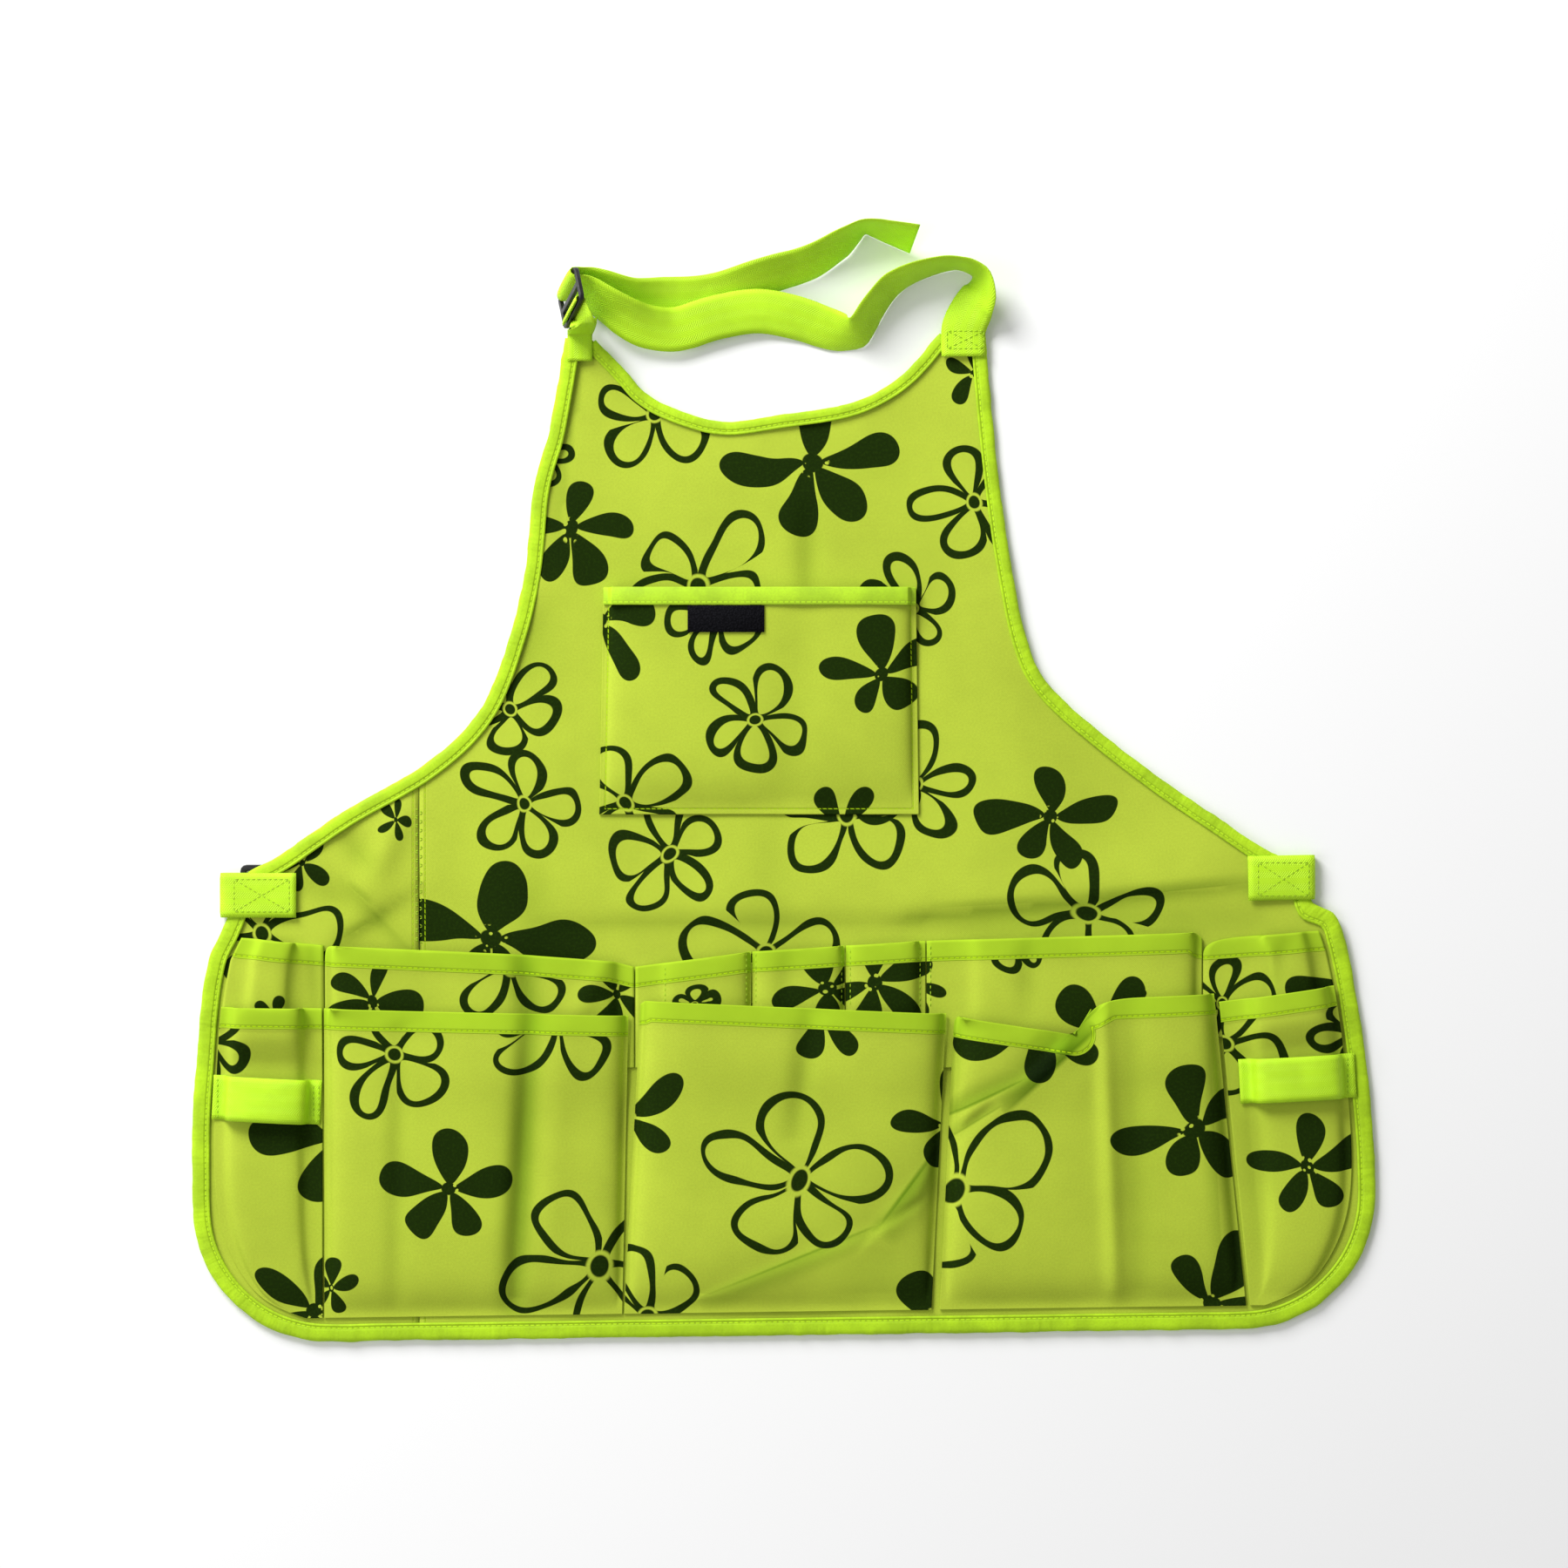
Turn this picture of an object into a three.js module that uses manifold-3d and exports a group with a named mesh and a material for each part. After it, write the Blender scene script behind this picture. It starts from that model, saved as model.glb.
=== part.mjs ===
// Gardening apron in printed cloth, lying on its back with its front up.
// Millimetres. X runs across the apron, Y from the hem to the neck and Z up from the floor.
// The drawing starts at the middle of the waist line. The whole is moved to its base at the end.

import * as THREE from 'three';
import { mergeVertices } from 'three/addons/utils/BufferGeometryUtils.js';
import Module from 'manifold-3d';

const wasm = await Module();
wasm.setup();

// Cloth outline
const skirtWidth = 665;
const skirtHeight = 256;
const hemSlope = 9;
const cornerRadius = 76;
const waistLeft = 309.5;
const waistRight = 292.5;
const bibLeft = 122.5;
const bibRight = 113;
const bibHeight = 309;
const necklineDepth = 51;
const leftTipWidth = 14;
const rightTipWidth = 24.5;
const seamFromCentre = 205;

// Thicknesses and tapes
const cloth = 1;
const hemCloth = 1.7;
const hemBand = 12;
const webbing = 1.2;
const webbingWidth = 25;
const bindingWidth = 11.5;
const armholeBindingWidth = 9;
const neckBindingWidth = 7.5;
const clear = 0.35;

// Pockets and loops
const upperLift = 6;
const lowerLift = 11.2;
const chestLift = 6.4;
const wallRun = 1.8;
const chestBindingWidth = 8.5;
const patchLength = 43;
const patchHeight = 15;
const patchThickness = 1;
const loopClear = 5.3;
const loopEndLength = 6.5;

// Buckle and slider in black plastic
const sliderLength = 32;
const sliderReach = 22;
const sliderBar = 3;
const sliderThickness = 2.4;
const sliderTurn = 57;
const sliderRise = 53;
const sliderInward = 3.5;
const sliderUpward = 16.5;
const buckleLength = 34;
const buckleReach = 34;
const buckleBar = 3.5;
const buckleThickness = 1.8;
const buckleInward = 4;
const slotWidth = webbingWidth + 2;

// Waist straps
const leftTabLength = 36;
const rightTabLength = 32;
const leftTabDrop = 8.5;
const rightTabDrop = -1.5;
const tabFold = 2.4;
const strapEnd = 12;

// Neck strap
const strapRise = 58;
const neckShift = -4.7;
const sewnLength = 15;
const sliderRoom = 7;
const curlLift = 4.2;
const curlWidth = 44;
const curlLength = 140;
const stubInward = 1;

// Mesh steps
const outlineStep = 15;
const necklineStep = 10.5;
const gridStep = 20;
const strapStep = 8;
const beltStep = 40;
const stubStep = 4;

// Levels above the floor where the cloth lies flat
const panelBottom = webbing + clear;
const panelTop = panelBottom + cloth;
const onPanel = panelTop + clear;
const onBinding = onPanel + webbing + clear;
const onUpperTier = onPanel + hemCloth + clear;
const bibWidth = bibLeft + bibRight;
const buckleTop = panelBottom + buckleThickness;
const overBuckle = buckleTop + clear + webbing;
const buckleLift = overBuckle + clear;
const tabLift = panelBottom;
const buckleX = -waistLeft + buckleReach / 2 + buckleInward;

const shade = {
  cloth: { color: 0xb0d23a, roughness: 0.85, metalness: 0 },
  binding: { color: 0xa6ee20, roughness: 0.7, metalness: 0 },
  webbing: { color: 0xaef522, roughness: 0.75, metalness: 0 },
  plastic: { color: 0x141414, roughness: 0.45, metalness: 0 },
  hook: { color: 0x0c0c0c, roughness: 0.95, metalness: 0 },
};

// Closed meshes

function closedGeometry(positions, indices) {
  const geometry = new THREE.BufferGeometry();
  geometry.setAttribute('position', new THREE.Float32BufferAttribute(positions, 3));
  const corner = (index) => new THREE.Vector3().fromArray(positions, index * 3);
  let volume = 0;
  for (let start = 0; start < indices.length; start += 3) {
    const [a, b, c] = [0, 1, 2].map((step) => corner(indices[start + step]));
    volume += a.dot(b.cross(c));
  }
  geometry.setIndex(volume < 0 ? indices.slice().reverse() : indices);
  geometry.computeVertexNormals();
  return geometry;
}

function toSolid(geometry) {
  const bare = geometry.clone();
  bare.deleteAttribute('normal');
  bare.deleteAttribute('uv');
  const merged = mergeVertices(bare, 1e-5);
  const vertProperties = new Float32Array(merged.attributes.position.array);
  const triVerts = new Uint32Array(merged.index.array);
  return new wasm.Manifold(new wasm.Mesh({ numProp: 3, vertProperties, triVerts }));
}

function toGeometry(solid) {
  const mesh = solid.getMesh();
  return closedGeometry(Array.from(mesh.vertProperties), Array.from(mesh.triVerts));
}

// A section, given as points in the two directions of each frame, carried from frame to frame.
function sweep(frames, section) {
  const positions = [];
  const indices = [];
  const size = section.length;
  for (const { origin, first, second } of frames) {
    for (const point of section) {
      const place = origin.clone();
      place.addScaledVector(first, point.x);
      place.addScaledVector(second, point.y);
      positions.push(...place.toArray());
    }
  }
  for (let ring = 0; ring < frames.length - 1; ring += 1) {
    const here = ring * size;
    const there = here + size;
    for (let corner = 0; corner < size; corner += 1) {
      const next = (corner + 1) % size;
      indices.push(here + corner, there + corner, there + next);
      indices.push(here + corner, there + next, here + next);
    }
  }
  const last = (frames.length - 1) * size;
  for (const [a, b, c] of THREE.ShapeUtils.triangulateShape(section, [])) {
    indices.push(a, b, c);
    indices.push(last + a, last + c, last + b);
  }
  return closedGeometry(positions, indices);
}

// The step from the under side of a sheet to its upper side, so that each facet keeps its thickness.
function offsetStep(normals, thickness) {
  const sums = [0, 0, 0, 0, 0, 0, 0, 0, 0];
  const pull = new THREE.Vector3();
  for (const normal of normals) {
    const parts = normal.toArray();
    for (let row = 0; row < 3; row += 1) {
      for (let column = 0; column < 3; column += 1) {
        sums[row * 3 + column] += parts[row] * parts[column];
      }
    }
    pull.addScaledVector(normal, thickness);
  }
  const steadying = 1e-3;
  const matrix = new THREE.Matrix3().set(
    sums[0] + steadying, sums[1], sums[2],
    sums[3], sums[4] + steadying, sums[5],
    sums[6], sums[7], sums[8] + steadying,
  );
  return pull.applyMatrix3(matrix.invert());
}

// A sheet of cloth over a net of under-side points, net[row][column], with its own thickness.
function sheetSolid(net, thicknessAt) {
  const rows = net.length;
  const columns = net[0].length;
  const facets = [];
  for (let row = 0; row < rows - 1; row += 1) {
    const line = [];
    for (let column = 0; column < columns - 1; column += 1) {
      const rising = net[row + 1][column + 1].clone().sub(net[row][column]);
      const falling = net[row + 1][column].clone().sub(net[row][column + 1]);
      line.push(rising.cross(falling).normalize());
    }
    facets.push(line);
  }
  const positions = [];
  const upper = [];
  for (let row = 0; row < rows; row += 1) {
    for (let column = 0; column < columns; column += 1) {
      const around = [];
      for (const line of [facets[row - 1], facets[row]]) {
        for (const facet of line ? [line[column - 1], line[column]] : []) {
          if (facet) around.push(facet);
        }
      }
      const step = offsetStep(around, thicknessAt(row, column));
      positions.push(...net[row][column].toArray());
      upper.push(...net[row][column].clone().add(step).toArray());
    }
  }
  const count = rows * columns;
  const at = (row, column) => row * columns + column;
  const indices = [];
  for (let row = 0; row < rows - 1; row += 1) {
    for (let column = 0; column < columns - 1; column += 1) {
      const corners = [at(row, column), at(row, column + 1), at(row + 1, column + 1), at(row + 1, column)];
      const [a, b, c, d] = corners;
      indices.push(a, c, b, a, d, c);
      indices.push(a + count, b + count, c + count, a + count, c + count, d + count);
    }
  }
  const wall = (from, to) => indices.push(from, to, to + count, from, to + count, from + count);
  for (let column = 0; column < columns - 1; column += 1) {
    wall(at(0, column), at(0, column + 1));
    wall(at(rows - 1, column + 1), at(rows - 1, column));
  }
  for (let row = 0; row < rows - 1; row += 1) {
    wall(at(row + 1, 0), at(row, 0));
    wall(at(row, columns - 1), at(row + 1, columns - 1));
  }
  return closedGeometry(positions.concat(upper), indices);
}

// Small measures

const clamp = (value) => Math.min(1, Math.max(0, value));

const ease = (value) => clamp(value) ** 2 * (3 - 2 * clamp(value));

const mix = (from, to, share) => from + (to - from) * share;

// The value of one column of a table, on the straight line between its rows.
function lookUp(table, key, value, place) {
  let row = 1;
  while (row < table.length - 1 && table[row][key] < place) row += 1;
  const from = table[row - 1];
  const to = table[row];
  return mix(from[value], to[value], clamp((place - from[key]) / (to[key] - from[key])));
}

function smoothLine(points, step) {
  const curve = new THREE.SplineCurve(points);
  return curve.getSpacedPoints(Math.ceil(curve.getLength() / step));
}

// Outline of the apron to the outer edge of its bindings, counter-clockwise from the left tip

const leftArmholeTable = [
  { up: 0.991, out: 0 },
  { up: 0.817, out: 0.05 },
  { up: 0.714, out: 0.097 },
  { up: 0.563, out: 0.123 },
  { up: 0.436, out: 0.173 },
  { up: 0.309, out: 0.259 },
  { up: 0.214, out: 0.416 },
  { up: 0.124, out: 0.668 },
  { up: 0.048, out: 0.851 },
  { up: 0.014, out: 0.955 },
  { up: 0, out: 1 },
];

const rightArmholeTable = [
  { up: 1, out: 0 },
  { up: 0.848, out: 0.022 },
  { up: 0.69, out: 0.052 },
  { up: 0.563, out: 0.085 },
  { up: 0.436, out: 0.131 },
  { up: 0.357, out: 0.197 },
  { up: 0.278, out: 0.342 },
  { up: 0.182, out: 0.555 },
  { up: 0.119, out: 0.713 },
  { up: 0.056, out: 0.874 },
  { up: 0.029, out: 0.959 },
  { up: 0, out: 1 },
];

const leftSideTable = [
  { down: 0, out: 0 },
  { down: 0.077, out: 0.087 },
  { down: 0.163, out: 0.543 },
  { down: 0.278, out: 0.783 },
  { down: 0.392, out: 0.891 },
  { down: 0.536, out: 1 },
];

const rightSideTable = [
  { down: 0, out: 0 },
  { down: 0.042, out: 0.037 },
  { down: 0.058, out: 0.28 },
  { down: 0.09, out: 0.476 },
  { down: 0.201, out: 0.671 },
  { down: 0.316, out: 0.793 },
  { down: 0.431, out: 0.89 },
  { down: 0.574, out: 0.976 },
];

const necklineTable = [
  { along: 0.09, down: 0.413 },
  { along: 0.166, down: 0.721 },
  { along: 0.28, down: 0.923 },
  { along: 0.392, down: 1.01 },
  { along: 0.545, down: 0.933 },
  { along: 0.708, down: 0.837 },
  { along: 0.81, down: 0.692 },
  { along: 0.905, down: 0.433 },
];

const hemLine = (x) => -skirtHeight + hemSlope * (x / skirtWidth);

function armhole(table, side, tip, waist) {
  const points = table.map((row) => (
    new THREE.Vector2(side * mix(tip, waist, row.out), row.up * bibHeight)
  ));
  return smoothLine(points, outlineStep);
}

function sideAndCorner(table, side, waist) {
  const edge = skirtWidth / 2;
  const points = table.map((row) => (
    new THREE.Vector2(side * mix(waist, edge, row.out), -row.down * skirtHeight)
  ));
  const hem = hemLine(side * (edge - cornerRadius));
  points.push(new THREE.Vector2(side * edge, hem + cornerRadius));
  const line = smoothLine(points, outlineStep);
  const turns = 9;
  for (let turn = 1; turn <= turns; turn += 1) {
    const angle = (turn / turns) * (Math.PI / 2);
    const x = side * (edge - cornerRadius * (1 - Math.cos(angle)));
    line.push(new THREE.Vector2(x, hem + cornerRadius * (1 - Math.sin(angle))));
  }
  return line;
}

function neckline() {
  const left = new THREE.Vector2(-bibLeft + leftTipWidth, leftArmholeTable[0].up * bibHeight);
  const right = new THREE.Vector2(bibRight - rightTipWidth, bibHeight);
  const points = necklineTable.map((row) => (
    new THREE.Vector2(mix(left.x, right.x, row.along), bibHeight - row.down * necklineDepth)
  ));
  return smoothLine([left, ...points, right], necklineStep).reverse();
}

const leftArmhole = armhole(leftArmholeTable, -1, bibLeft, waistLeft);
const rightArmhole = armhole(rightArmholeTable, 1, bibRight, waistRight).reverse();
const leftSide = sideAndCorner(leftSideTable, -1, waistLeft);
const rightSide = sideAndCorner(rightSideTable, 1, waistRight).reverse();
const hem = smoothLine([leftSide.at(-1), rightSide[0]], outlineStep * 2).slice(1, -1);
const skirtLine = [...leftSide, ...hem, ...rightSide];
const neckLine = neckline();
const wholeOutline = [...leftArmhole, ...skirtLine.slice(1, -1), ...rightArmhole, ...neckLine];

// The outward direction at each point of a line, long enough to keep an even width round bends.
function outwardSteps(line, closed) {
  return line.map((point, index) => {
    const before = line.at(closed ? index - 1 : Math.max(index - 1, 0));
    const after = closed ? line[(index + 1) % line.length] : line[Math.min(index + 1, line.length - 1)];
    const sides = [[before, point], [point, after]].filter(([from, to]) => from !== to);
    const normals = sides.map(([from, to]) => {
      const along = to.clone().sub(from).normalize();
      return new THREE.Vector2(along.y, -along.x);
    });
    const middle = normals[0].clone().add(normals.at(-1)).normalize();
    const sharpest = 0.5;
    return middle.divideScalar(Math.max(middle.dot(normals[0]), sharpest));
  });
}

function inset(line, distance, closed = false) {
  const steps = outwardSteps(line, closed);
  return line.map((point, index) => point.clone().addScaledVector(steps[index], -distance));
}

// A line without the given length at its start and at its end.
function trimmed(line, atStart, atEnd) {
  const cutStart = (points, length) => {
    let left = length;
    let first = 0;
    while (left > points[first].distanceTo(points[first + 1])) {
      left -= points[first].distanceTo(points[first + 1]);
      first += 1;
    }
    const share = left / points[first].distanceTo(points[first + 1]);
    return [points[first].clone().lerp(points[first + 1], share), ...points.slice(first + 1)];
  };
  return cutStart(cutStart(line, atStart).reverse(), atEnd).reverse();
}

// How far the cloth rises from lying flat: over the straps under it, at its curled tip and in folds

const beltFrom = new THREE.Vector2(buckleX, -leftTabDrop);
const beltTo = new THREE.Vector2(waistRight - rightTabLength / 2, -rightTabDrop);

const risesTable = [
  { at: beltFrom, flat: 24, fall: 78, height: buckleLift },
  { at: beltTo, flat: 24, fall: 60, height: tabLift },
];

const ridgesTable = [
  { from: [-0.3, -0.06], to: [0.33, -0.02], width: 28, height: 0.9 },
  { from: [-0.37, 0.1], to: [-0.27, 0.19], width: 24, height: 1.1 },
  { from: [-0.36, -0.04], to: [-0.28, 0.08], width: 24, height: 0.9 },
  { from: [0.03, 0.62], to: [0.01, 0.88], width: 30, height: 1.2 },
  { from: [-0.2, 0.2], to: [-0.16, 0.6], width: 34, height: 0.9 },
  { from: [0.17, 0.15], to: [0.19, 0.5], width: 34, height: 0.9 },
];

function ridgeHeight(ridge, x, y) {
  const from = new THREE.Vector2(ridge.from[0] * skirtWidth, ridge.from[1] * bibHeight);
  const to = new THREE.Vector2(ridge.to[0] * skirtWidth, ridge.to[1] * bibHeight);
  const along = to.clone().sub(from);
  const place = new THREE.Vector2(x, y).sub(from);
  const share = clamp(place.dot(along) / along.lengthSq());
  const away = place.addScaledVector(along, -share).length();
  return ridge.height * Math.exp(-((away / ridge.width) ** 2));
}

function drape(x, y) {
  let lift = 0;
  for (const rise of risesTable) {
    const away = Math.hypot(x - rise.at.x, y - rise.at.y) - rise.flat;
    lift += rise.height * (0.5 + 0.5 * Math.cos(Math.PI * clamp(away / rise.fall)));
  }
  for (const ridge of ridgesTable) lift += ridgeHeight(ridge, x, y);
  const aside = clamp((-bibLeft + curlWidth - x) / curlWidth);
  const upward = ease((y - bibHeight + curlLength) / curlLength);
  return lift + curlLift * aside ** 2 * upward;
}

const placed = (x, y, z) => new THREE.Vector3(x, y, z + drape(x, y));

// Panels

function evenSteps(from, to, step) {
  const count = Math.ceil((to - from) / step);
  return Array.from({ length: count + 1 }, (_, index) => mix(from, to, index / count));
}

function prismOf(points) {
  const height = 200;
  const geometry = new THREE.ExtrudeGeometry(new THREE.Shape(points), {
    depth: height,
    bevelEnabled: false,
  });
  return toSolid(geometry.translate(0, 0, -height / 2));
}

function panel(fromX, toX) {
  const columns = evenSteps(fromX, toX, gridStep).flatMap((x) => (
    Math.abs(x + bibLeft - curlWidth / 2) < curlWidth ? [0, 1, 2].map((part) => x + (part / 3) * gridStep) : [x]
  ));
  const rows = evenSteps(-skirtHeight - hemSlope, bibHeight + clear, gridStep);
  const net = rows.map((y) => columns.map((x) => placed(x, y, panelBottom)));
  const slab = toSolid(sheetSolid(net, () => cloth));
  const edge = inset(wholeOutline, webbing + clear, true);
  return toGeometry(slab.intersect(prismOf(edge)));
}

// Binding tape folded round an edge: a channel that is open towards the cloth.

function channelSection(width, clothThickness) {
  const outer = webbing + clear;
  const inner = outer + clothThickness;
  return [
    new THREE.Vector2(0, -outer),
    new THREE.Vector2(0, inner),
    new THREE.Vector2(-width, inner),
    new THREE.Vector2(-width, inner - webbing),
    new THREE.Vector2(-webbing, inner - webbing),
    new THREE.Vector2(-webbing, -clear),
    new THREE.Vector2(-width, -clear),
    new THREE.Vector2(-width, -outer),
  ];
}

function draped(geometry) {
  const places = geometry.attributes.position;
  for (let index = 0; index < places.count; index += 1) {
    places.setZ(index, places.getZ(index) + drape(places.getX(index), places.getY(index)));
  }
  return geometry;
}

function binding(line, width) {
  const steps = outwardSteps(line, false);
  const frames = line.map((point, index) => ({
    origin: new THREE.Vector3(point.x, point.y, panelBottom),
    first: new THREE.Vector3(steps[index].x, steps[index].y, 0),
    second: new THREE.Vector3(0, 0, 1),
  }));
  return draped(sweep(frames, channelSection(width, cloth)));
}

// Pockets: cloth sewn down at its sides and foot, raised between them and open at its mouth

const upperMouth = [
  { across: -0.468, down: 0.124 },
  { across: -0.383, down: 0.144 },
  { across: -0.221, down: 0.163 },
  { across: -0.145, down: 0.178 },
  { across: -0.139, down: 0.195 },
  { across: -0.029, down: 0.157 },
  { across: 0.111, down: 0.134 },
  { across: 0.347, down: 0.115 },
  { across: 0.354, down: 0.13 },
  { across: 0.464, down: 0.109 },
];

const lowerMouth = [
  { across: -0.479, down: 0.278 },
  { across: -0.389, down: 0.281 },
  { across: -0.131, down: 0.297 },
  { across: -0.118, down: 0.264 },
  { across: 0.14, down: 0.293 },
  { across: 0.147, down: 0.299 },
  { across: 0.247, down: 0.339 },
  { across: 0.262, down: 0.26 },
  { across: 0.364, down: 0.249 },
  { across: 0.367, down: 0.268 },
  { across: 0.479, down: 0.226 },
];

const upperFoot = 0.412;
const footMargin = 1.5;

const upperRows = [
  { rise: 0, up: 0, seat: 0 },
  { rise: 0.07, up: 0, seat: 0 },
  { rise: 0.22, up: 0.85, seat: 0 },
  { rise: 0.5, up: 1, seat: 0 },
];

const lowerRows = [
  { rise: 0, up: 0, seat: 0 },
  { rise: 0.03, up: 0, seat: 0 },
  { rise: 0.1, up: 0.6, seat: 0 },
  { rise: 0.28, up: 0.78, seat: 0 },
  { rise: 0.48, up: 0.82, seat: 0 },
  { rise: 0.68, up: 0.9, seat: 0 },
  { rise: 0.79, up: 1, seat: 1 },
];

const sideCrown = 0.52;

const sideRows = [
  { rise: 0, up: 0, seat: 0 },
  { rise: 0.04, up: 0, seat: 0 },
  { rise: 0.1, up: 0.35, seat: 0 },
  { rise: 0.28, up: sideCrown, seat: 0 },
  { rise: 0.55, up: sideCrown, seat: 0 },
  { rise: 0.8, up: sideCrown, seat: 0 },
  { rise: 0.843, up: 0.62, seat: 1 },
  { rise: 0.9, up: 1, seat: 1 },
];

const pocketLine = inset(skirtLine, bindingWidth + clear);

// Where the inner edge of the skirt's binding is, at one height on one side.
function besideBinding(side, y) {
  let farthest = 0;
  for (let index = 0; index < pocketLine.length - 1; index += 1) {
    const from = pocketLine[index];
    const to = pocketLine[index + 1];
    const share = (y - from.y) / (to.y - from.y);
    const x = mix(from.x, to.x, share);
    if (share >= 0 && share <= 1 && x * side > farthest * side) farthest = x;
  }
  return farthest;
}

const besideLeft = (y) => besideBinding(-1, y);
const besideRight = (y) => besideBinding(1, y);

// A side edge that runs straight from its place at the mouth to its place at the hem.
function slanted(atMouth, atHem) {
  return (y) => skirtWidth * mix(atMouth, atHem, clamp(-y / skirtHeight));
}

const upperPockets = [
  { name: 'upper_side_left', left: besideLeft, right: slanted(-0.3885, -0.3885), landLeft: 11, landRight: 16,
    foot: 0.38, folds: [{ across: 0.35, up: 0.94 }, { across: 0.65, up: 1 }] },
  { name: 'upper_pocket_left', left: slanted(-0.3875, -0.3875), right: slanted(-0.1265, -0.1265),
    landLeft: 6, landRight: 12,
    folds: [{ across: 0.28, up: 0.95 }, { across: 0.5, up: 1 }, { across: 0.66, up: 0.88 },
      { across: 0.8, up: 1 }] },
  { name: 'tool_slot_left', left: slanted(-0.1255, -0.1255), right: slanted(-0.0278, -0.0278),
    landLeft: 17, landRight: 2.2, folds: [{ across: 0.5, up: 1 }] },
  { name: 'tool_slot_middle', left: slanted(-0.0268, -0.0268), right: slanted(0.0512, 0.0512),
    landLeft: 2.2, landRight: 2.2, folds: [{ across: 0.5, up: 1 }] },
  { name: 'tool_slot_right', left: slanted(0.0522, 0.0522), right: slanted(0.1195, 0.1195),
    landLeft: 2.2, landRight: 5, folds: [{ across: 0.48, up: 1 }] },
  { name: 'upper_pocket_right', left: slanted(0.1205, 0.1205), right: slanted(0.353, 0.353),
    landLeft: 26, landRight: 5,
    folds: [{ across: 0.2, up: 0.95 }, { across: 0.5, up: 1 }, { across: 0.77, up: 0.92 }] },
  { name: 'upper_side_right', left: slanted(0.354, 0.354), right: besideRight, landLeft: 34, landRight: 9.5,
    foot: 0.345, folds: [{ across: 0.35, up: 1 }, { across: 0.7, up: 0.96 }] },
];

const lowerPockets = [
  { name: 'lower_side_left', left: besideLeft, right: slanted(-0.3898, -0.3898), landLeft: 7,
    landRight: 11, rows: sideRows, folds: [{ across: 0.35, up: 1 }, { across: 0.65, up: 1 }] },
  { name: 'lower_pocket_left', left: slanted(-0.3882, -0.3882), right: slanted(-0.129, -0.137),
    landLeft: 4.5, landRight: 4, rows: lowerRows,
    folds: [{ across: 0.22, up: 0.97 }, { across: 0.4, up: 1 }, { across: 0.58, up: 1 },
      { across: 0.66, up: 0.86 }, { across: 0.74, up: 1 }] },
  { name: 'lower_pocket_middle', left: slanted(-0.1155, -0.136), right: slanted(0.1425, 0.1235),
    landLeft: 4, landRight: 4, rows: lowerRows,
    folds: [{ across: 0.25, up: 1 }, { across: 0.5, up: 0.96 }, { across: 0.6, up: 0.9 },
      { across: 0.72, up: 1 }] },
  { name: 'lower_pocket_right', left: slanted(0.1495, 0.1305), right: slanted(0.353, 0.393),
    landLeft: 4, landRight: 4, rows: lowerRows,
    folds: [{ across: 0.25, up: 1 }, { across: 0.45, up: 0.96 }, { across: 0.52, up: 0.86 },
      { across: 0.6, up: 1 }, { across: 0.8, up: 0.98 }] },
  { name: 'lower_side_right', left: slanted(0.3565, 0.3965), right: besideRight, landLeft: 18,
    landRight: 5.5, rows: sideRows, folds: [{ across: 0.35, up: 1 }, { across: 0.65, up: 1 }] },
];

// Shares across a pocket's width with the share of its lift: land, wall, face, wall, land.
// The places of its folds are shares of its face.
function pocketColumns(pocket, width) {
  const shoulder = 0.93;
  const run = wallRun / width;
  const left = pocket.landLeft / width;
  const right = 1 - pocket.landRight / width;
  return [
    { across: 0, up: 0 },
    { across: left, up: 0 },
    { across: left + run, up: shoulder },
    ...pocket.folds.map((fold) => (
      { across: mix(left + run, right - run, fold.across), up: fold.up }
    )),
    { across: right - run, up: shoulder },
    { across: right, up: 0 },
    { across: 1, up: 0 },
  ];
}

function hemmedRows(rows, height) {
  const last = rows.at(-1);
  const turn = 0.8;
  return [
    ...rows.map((row) => ({ ...row, thick: cloth })),
    { ...last, rise: 1 - (hemBand + turn) / height, thick: cloth },
    { ...last, rise: 1 - hemBand / height, thick: hemCloth },
    { ...last, rise: 1, thick: hemCloth },
  ];
}

function tierPocket(pocket, tier) {
  const footAt = (x) => tier.footAt(x, pocket);
  const middle = mix(pocket.left(footAt(0)), pocket.right(footAt(0)), 0.5);
  const mouthAt = (x) => -skirtHeight * lookUp(tier.mouth, 'across', 'down', x / skirtWidth);
  const mouth = mouthAt(middle);
  const foot = footAt(middle);
  const columns = pocketColumns(pocket, pocket.right(mouth) - pocket.left(mouth));
  const rows = hemmedRows(pocket.rows ?? tier.rows, mouth - foot);
  const net = rows.map((row) => columns.map((column) => {
    const level = mix(foot, mouth, row.rise);
    const across = mix(pocket.left(level), pocket.right(level), column.across);
    const y = mix(footAt(across), mouthAt(across), row.rise);
    const x = mix(pocket.left(y), pocket.right(y), column.across);
    const z = onPanel + row.seat * tier.seat + row.up * column.up * tier.lift;
    return placed(x, y, z);
  }));
  return sheetSolid(net, (row) => rows[row].thick);
}

const upperTier = {
  mouth: upperMouth,
  rows: upperRows,
  seat: 0,
  lift: upperLift,
  footAt: (x, pocket) => -(pocket.foot ?? upperFoot) * skirtHeight,
};

const lowerTier = {
  mouth: lowerMouth,
  rows: lowerRows,
  seat: onUpperTier - onPanel,
  lift: lowerLift,
  footAt: (x) => hemLine(x) + bindingWidth + clear + footMargin,
};

// Chest pocket with the tape round its mouth and the hook patch on its face

const chest = {
  leftTop: -0.1525,
  rightTop: 0.1115,
  leftFoot: -0.156,
  rightFoot: 0.114,
  top: 0.527,
  foot: 0.119,
  land: 4.5,
};

const chestFace = [
  { across: 0.25, up: 1 },
  { across: 0.57, up: 1 },
  { across: 0.8, up: 0.97 },
];

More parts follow.
